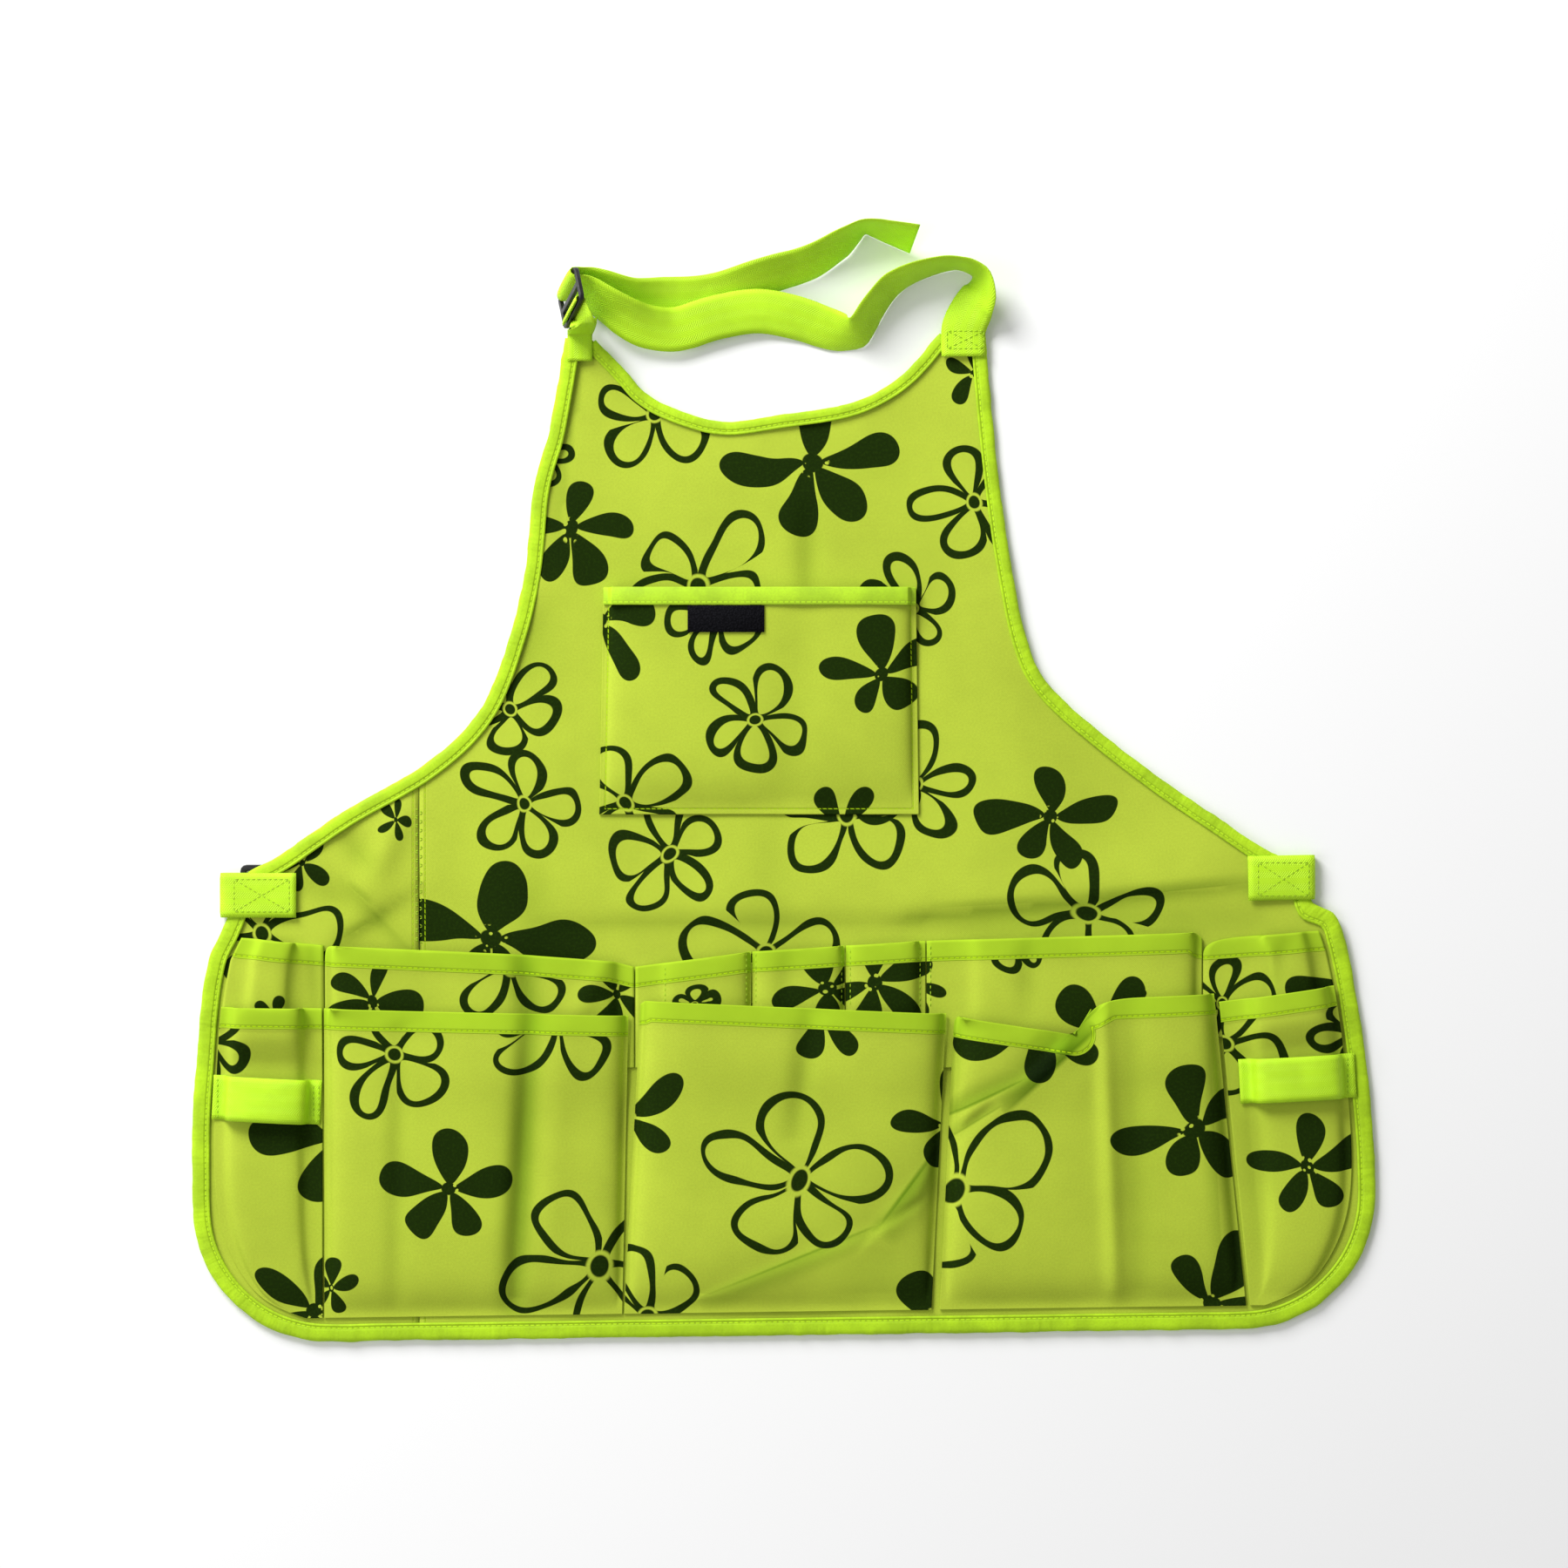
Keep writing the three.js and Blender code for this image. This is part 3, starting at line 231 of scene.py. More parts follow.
def creased(mesh, creases, ripple=0.0, seed=0, sewn=()):
    """Presses a sheet into creases that fade out at its sewn edges, with a little unevenness, and keeps on
    each point the painted shade of the creases.
    """
    points = np.array([vertex.co.to_2d() for vertex in mesh.verts])
    free = np.minimum(1.0, distance_to(points, sewn) / SEWN_REACH)
    lines = []
    for first, last, *shape in creases:
        start = Vector((across(first[0]), upward(first[1])))
        end = Vector((across(last[0]), upward(last[1])))
        lines.append((start, end - start, *shape))
    # Painted shade along the creases, kept on each point as an attribute that darkens the cloth's colour
    tone = mesh.verts.layers.float.new("fold")
    for vertex, loose in zip(mesh.verts, free):
        place = vertex.co.to_2d()
        dark = 0.0
        for start, along, width, height, darkness, step in lines:
            share = (place - start).dot(along) / along.length_squared
            held = min(max(share, 0), 1)
            aside = place - start - held * along
            side = along.x * aside.y - along.y * aside.x
            away = aside.length * (1 if side >= 0 else -1)
            fade = math.exp(-(((share - held) * along.length / 0.012) ** 2))
            fade *= math.sin(math.pi * min(max(0.08 + 0.84 * held, 0), 1)) ** 0.5
            if step:
                lift = 0.5 * math.tanh(away / width)
                lift *= math.exp(-((away / (5 * width)) ** 2))
            else:
                lift = math.exp(-((away / width) ** 2))
            vertex.co.z += height * fade * lift * loose
            # Painted shade: on a groove, or on the lower side of a step, spreading a little wider than the
            # crease
            lower = 1.0 if height < 0 else 0.0
            if step:
                lower = 1.0 if away < 0 else 0.35
            spread = math.exp(-((away / (width * PAINTED_SHADE_SPREAD)) ** 2))
            dark += lower * darkness * fade * spread
        vertex[tone] = min(dark, 0.9)
        if ripple:
            spot = Vector((place.x * 22, place.y * 22, seed))
            vertex.co.z += ripple * noise.noise(spot)


def print_map(mesh):
    """A UV map in metres on the apron's plane, which the print follows."""
    layer = mesh.loops.layers.uv.new("Print")
    for face in mesh.faces:
        for loop in face.loops:
            loop[layer].uv = loop.vert.co.to_2d()


def edge_distances(mesh, mouths, others):
    """Keeps on each point how far it is from the cloth's mouth and from its other edges."""
    points = np.array([vertex.co.to_2d() for vertex in mesh.verts])
    for name, segments in (("mouth", mouths), ("edge", others)):
        layer = mesh.verts.layers.float.new(name)
        away = distance_to(points, segments)
        for vertex, value in zip(mesh.verts, away):
            vertex[layer] = float(value)


def flat_cut(node):
    """The flat outline of a cloth node as one face."""
    mesh = upper_side(node)
    for vertex in mesh.verts:
        vertex.co.z = 0
    bmesh.ops.remove_doubles(mesh, verts=mesh.verts, dist=WELD)
    bmesh.ops.dissolve_limit(
        mesh, angle_limit=0.02, verts=mesh.verts, edges=mesh.edges, delimit=set()
    )
    return mesh


def panel_sheet(node, creases, step, turns=7):
    """A panel cut flat, netted and laid over the heights of its node."""
    mesh = flat_cut(node)
    mouths, others = edge_segments(mesh)
    area = sum(face.calc_area() for face in mesh.faces)
    low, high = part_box(node)
    for axis in (0, 1):
        normal = Vector((1 - axis, axis, 0))
        count = int((high[axis] - low[axis]) / step)
        for index in range(1, count + 1):
            place = normal * (low[axis] + index * (high[axis] - low[axis]) / (count + 1))
            everything = mesh.verts[:] + mesh.edges[:] + mesh.faces[:]
            bmesh.ops.bisect_plane(mesh, geom=everything, dist=1e-6, plane_co=place, plane_no=normal)
    bmesh.ops.remove_doubles(mesh, verts=mesh.verts, dist=WELD)
    loose = [vertex for vertex in mesh.verts if not vertex.link_faces]
    bmesh.ops.delete(mesh, geom=loose, context="VERTS")
    surface = surface_of(node)
    for vertex in mesh.verts:
        middle = sum((face.calc_center_median() for face in vertex.link_faces), Vector())
        inward = vertex.co.lerp(middle / len(vertex.link_faces), 0.1)
        vertex.co.z = settled_height(surface, inward, 0.0026)
    relaxed(mesh, turns)
    creased(mesh, creases, ripple=0.0006, seed=len(node))
    print_map(mesh)
    edge_distances(mesh, mouths, others)
    return mesh, area


def pocket_sheet(node, creases, levels, ripple=0.0003):
    """A pocket's upper side, its triangles paired and rounded off."""
    mesh = upper_side(node)
    flat = mesh.copy()
    for vertex in flat.verts:
        vertex.co.z = 0
    mouths, others = edge_segments(flat)
    area = sum(face.calc_area() for face in flat.faces)
    flat.free()
    bmesh.ops.join_triangles(
        mesh,
        faces=mesh.faces,
        angle_face_threshold=math.pi,
        angle_shape_threshold=math.pi,
    )
    data = bpy.data.meshes.new(node + "_net")
    mesh.to_mesh(data)
    mesh.free()
    helper = bpy.data.objects.new(node + "_net", data)
    bpy.context.scene.collection.objects.link(helper)
    rounding = helper.modifiers.new("Rounding", "SUBSURF")
    rounding.levels = rounding.render_levels = levels
    rounding.boundary_smooth = "PRESERVE_CORNERS"
    rounding.use_limit_surface = False
    result = helper.evaluated_get(bpy.context.evaluated_depsgraph_get())
    rounded = bmesh.new()
    rounded.from_mesh(result.to_mesh())
    result.to_mesh_clear()
    bpy.data.objects.remove(helper)
    bpy.data.meshes.remove(data)
    creased(rounded, creases, ripple=ripple, seed=len(node) * 1.7, sewn=others)
    print_map(rounded)
    edge_distances(rounded, mouths, others)
    return rounded, area


def thickened(piece, thickness):
    solid = piece.modifiers.new("Thickness", "SOLIDIFY")
    solid.thickness = thickness
    solid.offset = -1
    solid.use_even_offset = False
    return solid


# Tapes and webbing


def flat_patches(mesh, corners):
    """The patches of faces in one plane that have this many corners."""
    patches, seen = [], set()
    for face in mesh.faces:
        if face in seen:
            continue
        patch, waiting = set(), [face]
        seen.add(face)
        while waiting:
            held = waiting.pop()
            patch.update(vertex.index for vertex in held.verts)
            for edge in held.edges:
                for other in edge.link_faces:
                    if other not in seen and other.normal.dot(face.normal) > 0.99995:
                        seen.add(other)
                        waiting.append(other)
        if len(patch) == corners:
            patches.append(patch)
    return patches


def rings_of(node, corners):
    """The rings of corners that a tape's or a strap's section left along its node."""
    mesh = welded(node)
    mesh.verts.ensure_lookup_table()
    neighbours = [{edge.other_vert(v).index for edge in v.link_edges} for v in mesh.verts]
    places = [vertex.co.copy() for vertex in mesh.verts]
    ends = flat_patches(mesh, corners)
    mesh.free()
    for end in ends:
        rings, used = [end], set(end)
        while len(rings[-1]) == corners:
            rings.append(set().union(*(neighbours[i] for i in rings[-1])) - used)
            used |= rings[-1]
        if not rings[-1] and len(used) == len(places):
            return [[places[i] for i in ring] for ring in rings[:-1]]
    raise RuntimeError(f"{node}: its section doesn't run in rings of {corners}")


def smooth_between(values, step, length):
    """Points on a smooth line through values, evenly spaced, with the share of each."""
    values = np.array(values, float)
    padded_values = np.vstack([2 * values[0] - values[1], values, 2 * values[-1] - values[-2]])
    count = max(int(round(length / step)), 2)
    spans = np.linalg.norm(np.diff(values[:, :3], axis=0), axis=1)
    reached = np.concatenate([[0], np.cumsum(spans)])
    result = []
    for place in np.linspace(0, reached[-1], count + 1):
        index = min(int(np.searchsorted(reached, place, side="right")) - 1, len(spans) - 1)
        share = (place - reached[index]) / max(spans[index], 1e-9)
        p0, p1, p2, p3 = padded_values[index : index + 4]
        before = np.linalg.norm((p1 - p0)[:3]) or 1e-9
        here = max(spans[index], 1e-9)
        after = np.linalg.norm((p3 - p2)[:3]) or 1e-9
        slope_in = ((p1 - p0) / before * here + (p2 - p1)) / 2
        slope_out = ((p2 - p1) + (p3 - p2) / after * here) / 2
        a = 2 * share**3 - 3 * share**2 + 1
        b = share**3 - 2 * share**2 + share
        c = -2 * share**3 + 3 * share**2
        d = share**3 - share**2
        result.append(a * p1 + b * slope_in + c * p2 + d * slope_out)
    return result


def extruded_band(sections, alongs, section_across, closed, cap=False):
    """A band made by extruding its first section from place to place, with a UV map in metres."""
    mesh = bmesh.new()
    row = [mesh.verts.new(point) for point in sections[0]]
    count = len(row)
    pairs = [(i, i + 1) for i in range(count - 1)] + ([(count - 1, 0)] if closed else [])
    edges = [mesh.edges.new((row[a], row[b])) for a, b in pairs]
    if cap:
        mesh.faces.new(row)
    place_of = {vertex: (0, index) for index, vertex in enumerate(row)}
    for number, section in enumerate(sections[1:], 1):
        made = bmesh.ops.extrude_edge_only(mesh, edges=edges)["geom"]
        fresh = [item for item in made if isinstance(item, bmesh.types.BMVert)]
        twins = {}
        for vertex in fresh:
            for edge in vertex.link_edges:
                other = edge.other_vert(vertex)
                if other in place_of and place_of[other][0] == number - 1:
                    twins[place_of[other][1]] = vertex
        row = [twins[index] for index in range(count)]
        for index, vertex in enumerate(row):
            vertex.co = section[index]
            place_of[vertex] = (number, index)
        edges = [mesh.edges.get((row[a], row[b])) for a, b in pairs]
    if cap:
        mesh.faces.new(row)
    bmesh.ops.recalc_face_normals(mesh, faces=mesh.faces)
    layer = mesh.loops.layers.uv.new("Tape")
    for face in mesh.faces:
        indices = [place_of[loop.vert][1] for loop in face.loops]
        seam = closed and 0 in indices and count - 1 in indices
        for loop in face.loops:
            number, index = place_of[loop.vert]
            aside = section_across[index]
            if seam and index == 0:
                aside = section_across[-1] + (section_across[-1] - section_across[-2])
            loop[layer].uv = (alongs[number], aside)
    return mesh


TAPE_PROFILE = (
    {"in": 1.0, "up": 0.0},
    {"in": 0.55, "up": 0.0},
    {"in": 0.12, "up": 0.04},
    {"in": 0.03, "up": 0.22},
    {"in": 0.0, "up": 0.5},
    {"in": 0.03, "up": 0.78},
    {"in": 0.12, "up": 0.95},
    {"in": 0.3, "up": 1.02},
    {"in": 0.58, "up": 1.03},
    {"in": 0.74, "up": 0.99},
    {"in": 0.81, "up": 0.96},
    {"in": 0.88, "up": 0.98},
    {"in": 1.0, "up": 1.0},
)


def tape_rails(node):
    """Where a folded tape's outer and inner edges run, with its lowest and highest points."""
    rails = []
    for ring in rings_of(node, 8):
        flat = np.array([corner.to_2d() for corner in ring])
        away = np.linalg.norm(flat[:, None] - flat[None], axis=2)
        first, second = np.unravel_index(np.argmax(away), away.shape)
        near_first = flat[away[first] < away[second]]
        near_second = flat[away[first] >= away[second]]
        spread = [np.ptp(near_first, axis=0).sum(), np.ptp(near_second, axis=0).sum()]
        outer, inner = (flat[first], flat[second]) if spread[0] > spread[1] else (flat[second], flat[first])
        heights = [corner.z for corner in ring]
        rails.append([*outer, min(heights), *inner, max(heights)])
    return rails


def folded_tape(node, material, seed, width=1.0, step=0.0025):
    """Tape folded over an edge, that covers a share of its node's width."""
    rails = tape_rails(node)
    length = sum(math.dist(a[:2], b[:2]) for a, b in zip(rails, rails[1:]))
    places = smooth_between(rails, step, length)
    sections, alongs, reached = [], [], 0.0
    for number, place in enumerate(places):
        outer, low, inner, high = place[0:2], place[2], place[3:5], place[5]
        if number:
            reached += math.dist(outer, places[number - 1][0:2])
        spot = Vector((reached * 95, seed, 0))
        pucker = noise.noise(spot)
        fray = noise.noise(Vector((reached * 260, seed + 7, 0)))
        outward = (outer - inner) / np.linalg.norm(outer - inner)
        moved = outer + outward * (0.0005 * pucker + 0.00025 * fray)
        inner = outer + (inner - outer) * width
        thick = high - low
        section = []
        for row in TAPE_PROFILE:
            flat = moved + (inner - moved) * row["in"]
            lift = low + thick * row["up"]
            if row["up"] > 0.9:
                lift += 0.00022 * fray + 0.0002 * pucker * (1 - row["in"])
            section.append(Vector((flat[0], flat[1], lift)))
        sections.append(section)
        alongs.append(reached)
    reach = width * float(np.mean([math.dist(p[0:2], p[3:5]) for p in places]))
    asides, so_far = [0.0], 0.0
    for before, after in zip(TAPE_PROFILE, TAPE_PROFILE[1:]):
        so_far += math.hypot((after["in"] - before["in"]) * reach, (after["up"] - before["up"]) * 0.004)
        asides.append(so_far)
    asides = [aside - so_far for aside in asides]
    mesh = extruded_band(sections, alongs, asides, closed=False)
    piece = finished(node + "_tape", mesh, material, [node])
    thickened(piece, TAPE_THICKNESS)
    return piece


def strap_frames(node):
    """A strap's middle line, its half width and its upward direction, from end to end."""
    frames = []
    for ring in rings_of(node, 4):
        first = ring[0]
        near = min(ring[1:], key=lambda corner: (corner - first).length)
        centre = sum(ring, Vector()) / 4
        pair = (first + near) / 2
        wide = pair - centre
        frames.append([centre, wide, (near - first).length / 2])
    for before, after in zip(frames, frames[1:]):
        if before[1].dot(after[1]) < 0:
            after[1] = -after[1]
    return frames


def woven_strap(name, nodes, material, step=0.0022, curl=0.0, smooth=True, seed=0):
    """Webbing swept along the middle line of its node, with slightly thicker edges."""
    frames = strap_frames(nodes[0])
    values = [[*centre, *wide] for centre, wide, _ in frames]
    half_thickness = frames[0][2]
    spans = [math.dist(a[:3], b[:3]) for a, b in zip(values, values[1:])]
    places = smooth_between(values, step, sum(spans)) if smooth else straight_between(values, step)
    count = 9
    sections, alongs, reached = [], [], 0.0
    above = None
    for number, place in enumerate(places):
        centre, wide = Vector(place[:3]), Vector(place[3:])
        before = Vector(places[max(number - 1, 0)][:3])
        after = Vector(places[min(number + 1, len(places) - 1)][:3])
        reached += 0.0 if number == 0 else (centre - before).length
        out = (after - before).cross(wide).normalized()
        if above is not None and out.dot(above) < 0:
            out = -out
        above = out
        section = []
        for side in (1, -1):
            for index in range(count):
                share = (2 * index / (count - 1) - 1) * side
                bead = 1 + 0.12 * (abs(share) > 0.8) - 0.75 * (abs(share) > 0.97)
                sway = 0.00018 * noise.noise(Vector((reached * 70, share * 1.5, seed)))
                rise = half_thickness * bead * side + curl * (share**2 - 0.4) + sway
                point = centre + wide * share + out * rise
                point.z = max(point.z, FLOOR_GAP)
                section.append(point)
        sections.append(section)
        alongs.append(reached)
    half = frames[len(frames) // 2][1].length
    asides = [(2 * index / (count - 1) - 1) * half for index in range(count)]
    asides += [2 * half + 0.001 + (2 * index / (count - 1) - 1) * half for index in range(count)]
    mesh = extruded_band(sections, alongs, asides, closed=True, cap=True)
    return finished(name, mesh, material, nodes)


def straight_between(values, step):
    values = [np.array(value, float) for value in values]
    result = [values[0]]
    for before, after in zip(values, values[1:]):
        parts = max(1, round(math.dist(before[:3], after[:3]) / step))
        result += [before + (after - before) * part / parts for part in range(1, parts + 1)]
    return result


# Materials


class Graph:
    """Short calls to add and join the nodes of one tree."""

    def __init__(self, tree):
        self.tree = tree

    def feed(self, socket, value):
        if isinstance(value, bpy.types.NodeSocket):
            self.tree.links.new(value, socket)
        else:
            socket.default_value = value

    def node(self, kind, inputs=None, **settings):
        made = self.tree.nodes.new(kind)
        for key, value in settings.items():
            setattr(made, key, value)
        for key, value in (inputs or {}).items():
            self.feed(made.inputs[key], value)
        return made

    def math(self, operation, first, second=0.0, third=0.0, clamp=False):
        inputs = {0: first, 1: second, 2: third}
        made = self.node("ShaderNodeMath", inputs, operation=operation, use_clamp=clamp)
        return made.outputs[0]

    def ramp(self, value, low, high, start=0.0, end=1.0):
        inputs = {"Value": value, "From Min": low, "From Max": high, "To Min": start, "To Max": end}
        made = self.node("ShaderNodeMapRange", inputs, interpolation_type="SMOOTHSTEP")
        return made.outputs[0]

    def mix(self, share, first, second, blend="MIX"):
        made = self.node("ShaderNodeMix", data_type="RGBA", blend_type=blend)
        self.feed(made.inputs[0], share)
        self.feed(made.inputs[6], first)
        self.feed(made.inputs[7], second)
        return made.outputs[2]

    def group(self, tree, inputs):
        made = self.node("ShaderNodeGroup", node_tree=tree)
        for key, value in inputs.items():
            self.feed(made.inputs[key], value)
        return made

    def noise(self, place, scale, **inputs):
        made = self.node("ShaderNodeTexNoise", {"Vector": place, "Scale": scale, **inputs})
        return made.outputs["Fac"]

    def attribute(self, name):
        return self.node("ShaderNodeAttribute", attribute_name=name).outputs["Fac"]

    def uv(self, name):
        return self.node("ShaderNodeUVMap", uv_map=name).outputs[0]

    def object_place(self):
        return self.node("ShaderNodeTexCoord").outputs["Object"]

    def bump(self, shader, height, strength=0.8):
        made = self.node("ShaderNodeBump", {"Height": height, "Distance": 1.0, "Strength": strength})
        self.feed(shader.inputs["Normal"], made.outputs[0])

    def split(self, vector):
        return self.node("ShaderNodeSeparateXYZ", {0: vector}).outputs


def new_group(name, inputs, outputs):
    """An empty shader node group with named sockets, and its graph, input and output nodes."""
    tree = bpy.data.node_groups.new(name, "ShaderNodeTree")
    kinds = {"vector": "NodeSocketVector", "value": "NodeSocketFloat", "colour": "NodeSocketColor"}
    for key, kind in inputs.items():
        tree.interface.new_socket(key, in_out="INPUT", socket_type=kinds[kind])
    for key, kind in outputs.items():
        tree.interface.new_socket(key, in_out="OUTPUT", socket_type=kinds[kind])
    graph = Graph(tree)
    return graph, graph.node("NodeGroupInput").outputs, graph.node("NodeGroupOutput").inputs


def colour4(colour, factor=1.0):
    return (*(min(1.0, part * factor) for part in colour), 1.0)


# A flower's five petals: how far each leans from its fifth of the turn, its length and its width

DRAWN_PETALS = (
    {"lean": 0.13, "length": 0.78, "width": 0.33},
    {"lean": -0.02, "length": 1.0, "width": 0.25},
    {"lean": 0.12, "length": 0.76, "width": 0.34},
    {"lean": 0.0, "length": 0.78, "width": 0.30},
    {"lean": -0.22, "length": 0.94, "width": 0.28},
)
FILLED_PETALS = (
    {"lean": 0.24, "length": 1.0, "width": 0.19},
    {"lean": 0.14, "length": 0.72, "width": 0.27},
    {"lean": -0.07, "length": 0.78, "width": 0.25},
    {"lean": -0.19, "length": 0.95, "width": 0.21},
    {"lean": -0.14, "length": 0.74, "width": 0.29},
)
LEAN_REACH = 0.5
FLOWER_SOCKETS = {
    "Place": "vector",
    "Centre": "vector",
    "Radius": "value",
    "Turn": "value",
    "Seed": "value",
    "Spread": "value",
}


def petal_group(name, petals):
    """The five petals of one flower: how far a place is from their edges, in metres."""
    graph, given, result = new_group(
        name,
        FLOWER_SOCKETS,
        {"Edge": "value", "Reach": "value"},
    )
    offset = graph.node(
        "ShaderNodeVectorMath", {0: given["Place"], 1: given["Centre"]}, operation="SUBTRACT"
    ).outputs[0]
    x, y, _ = graph.split(offset)
    x = graph.math("DIVIDE", x, given["Radius"])
    y = graph.math("DIVIDE", y, given["Radius"])
    reach = graph.math("SQRT", graph.math("MULTIPLY_ADD", x, x, graph.math("MULTIPLY", y, y)))
    angle = graph.math("SUBTRACT", graph.math("ARCTAN2", y, x), given["Turn"])
    fifths = graph.math("MULTIPLY", angle, 5 / (2 * math.pi))
    number = graph.math("ROUND", fifths)
    aside = graph.math("MULTIPLY", graph.math("SUBTRACT", fifths, number), 2 * math.pi / 5)
    number = graph.math("FLOORED_MODULO", number, 5.0)
    table = graph.node("ShaderNodeValToRGB", {0: graph.math("MULTIPLY_ADD", number, 0.2, 0.1)})
    table.color_ramp.interpolation = "CONSTANT"
    for index, petal in enumerate(petals):
        row = (petal["lean"] / LEAN_REACH + 0.5, petal["length"], petal["width"], 1.0)
        if index < 2:
            stop = table.color_ramp.elements[index]
            stop.position = 0.2 * index
        else:
            stop = table.color_ramp.elements.new(0.2 * index)
        stop.color = row
    lean, length, width = graph.node("ShaderNodeSeparateColor", {0: table.outputs[0]}).outputs
    which = graph.math("MULTIPLY_ADD", given["Seed"], 7.0, number)
    chance = graph.node("ShaderNodeTexWhiteNoise", {"W": which}, noise_dimensions="1D")
    red, green, blue = graph.node("ShaderNodeSeparateColor", {0: chance.outputs["Color"]}).outputs
    lean = graph.math("MULTIPLY", graph.math("SUBTRACT", lean, 0.5), LEAN_REACH)
    lean = graph.math("MULTIPLY_ADD", lean, given["Spread"], graph.math("MULTIPLY_ADD", red, 0.14, -0.07))
    aside = graph.math("SUBTRACT", aside, lean)
    shortening = graph.math("MULTIPLY", graph.math("SUBTRACT", 1.0, length), given["Spread"])
    length = graph.math("SUBTRACT", 1.0, shortening)
    length = graph.math("MULTIPLY", length, graph.math("MULTIPLY_ADD", green, 0.16, 0.86))
    scaled = graph.math("DIVIDE", reach, length)
    along = graph.math("MULTIPLY", scaled, graph.math("COSINE", aside))
    beside = graph.math("MULTIPLY", scaled, graph.math("SINE", aside))
    taper = graph.math("MULTIPLY_ADD", along, 0.95, 0.42)
    width = graph.math("MULTIPLY", width, graph.math("MULTIPLY_ADD", blue, 0.3, 0.85))
    width = graph.math("MAXIMUM", graph.math("MULTIPLY", width, taper), 0.06)
    stretch = 2.2
    beside = graph.math("DIVIDE", beside, width)
    along = graph.math("MULTIPLY_ADD", along, stretch, -0.545 * stretch)
    whole = graph.math("MULTIPLY_ADD", along, along, graph.math("MULTIPLY", beside, beside))
    edge = graph.math("SQRT", whole)
    steep_along = graph.math("MULTIPLY", along, stretch)
    steep_beside = graph.math("DIVIDE", beside, width)
    steep = graph.math(
        "SQRT",
        graph.math(
            "MULTIPLY_ADD", steep_along, steep_along, graph.math("MULTIPLY", steep_beside, steep_beside)
        ),
    )
    away = graph.math("MULTIPLY", graph.math("SUBTRACT", edge, 1.0), graph.math("DIVIDE", edge, steep))
    away = graph.math("MULTIPLY", graph.math("MULTIPLY", away, length), given["Radius"])
    graph.feed(result["Edge"], away)
    graph.feed(result["Reach"], reach)
    return graph.tree


def flower_groups():
    """One flower filled with ink, and one drawn as brush lines."""
    soft = 0.00022
    filled, given, result = new_group("Filled flower", FLOWER_SOCKETS, {"Ink": "value"})
    petals = petal_group("Filled petals", FILLED_PETALS)
    made = filled.group(petals, {key: given[key] for key in FLOWER_SOCKETS}).outputs
    inside = filled.ramp(made["Edge"], -soft, soft, 1.0, 0.0)
    heart = filled.ramp(made["Reach"], 0.14, 0.17, 1.0, 0.0)
    flecks = filled.node(
        "ShaderNodeTexVoronoi", {"Vector": given["Place"], "Scale": 230.0}, feature="F1"
    ).outputs["Distance"]
    fleck = filled.math("MULTIPLY", filled.ramp(flecks, 0.22, 0.28, 1.0, 0.0), heart)
    ink = filled.math("MAXIMUM", inside, filled.ramp(made["Reach"], 0.1, 0.115, 1.0, 0.0))
    filled.feed(result["Ink"], filled.math("SUBTRACT", ink, fleck, clamp=True))
    drawn, given, result = new_group("Drawn flower", FLOWER_SOCKETS, {"Ink": "value"})
    petals = petal_group("Drawn petals", DRAWN_PETALS)
    made = drawn.group(petals, {key: given[key] for key in FLOWER_SOCKETS}).outputs
    hand = drawn.noise(given["Place"], 55.0, Detail=0.0)
    brush = drawn.math("MULTIPLY_ADD", hand, 0.0026, 0.0007)
    away = drawn.math("SUBTRACT", drawn.math("ABSOLUTE", made["Edge"]), brush)
    line = drawn.ramp(away, -soft, soft, 1.0, 0.0)
    clear = drawn.ramp(made["Reach"], 0.12, 0.15)
    line = drawn.math("MULTIPLY", line, clear)
    heart = drawn.ramp(made["Reach"], 0.085, 0.105, 1.0, 0.0)
    drawn.feed(result["Ink"], drawn.math("MAXIMUM", line, heart))
    return {"filled": filled.tree, "drawn": drawn.tree}


def weave_group():
    """The threads of plain woven cloth: a height and a shade."""
    graph, given, result = new_group(
        "Woven threads", {"Place": "vector", "Thread": "value"}, {"Height": "value", "Shade": "value"}
    )
    x, y, _ = graph.split(given["Place"])
    warp = graph.math("SINE", graph.math("MULTIPLY", graph.math("DIVIDE", x, given["Thread"]), math.pi))
    weft = graph.math("SINE", graph.math("MULTIPLY", graph.math("DIVIDE", y, given["Thread"]), math.pi))
    height = graph.math("MULTIPLY_ADD", graph.math("MULTIPLY", warp, weft), 0.5, 0.5)
    graph.feed(result["Height"], height)
    slubs = graph.noise(given["Place"], 900.0, Detail=2.0)
    graph.feed(result["Shade"], graph.math("MULTIPLY_ADD", height, 0.3, slubs))
    return graph.tree


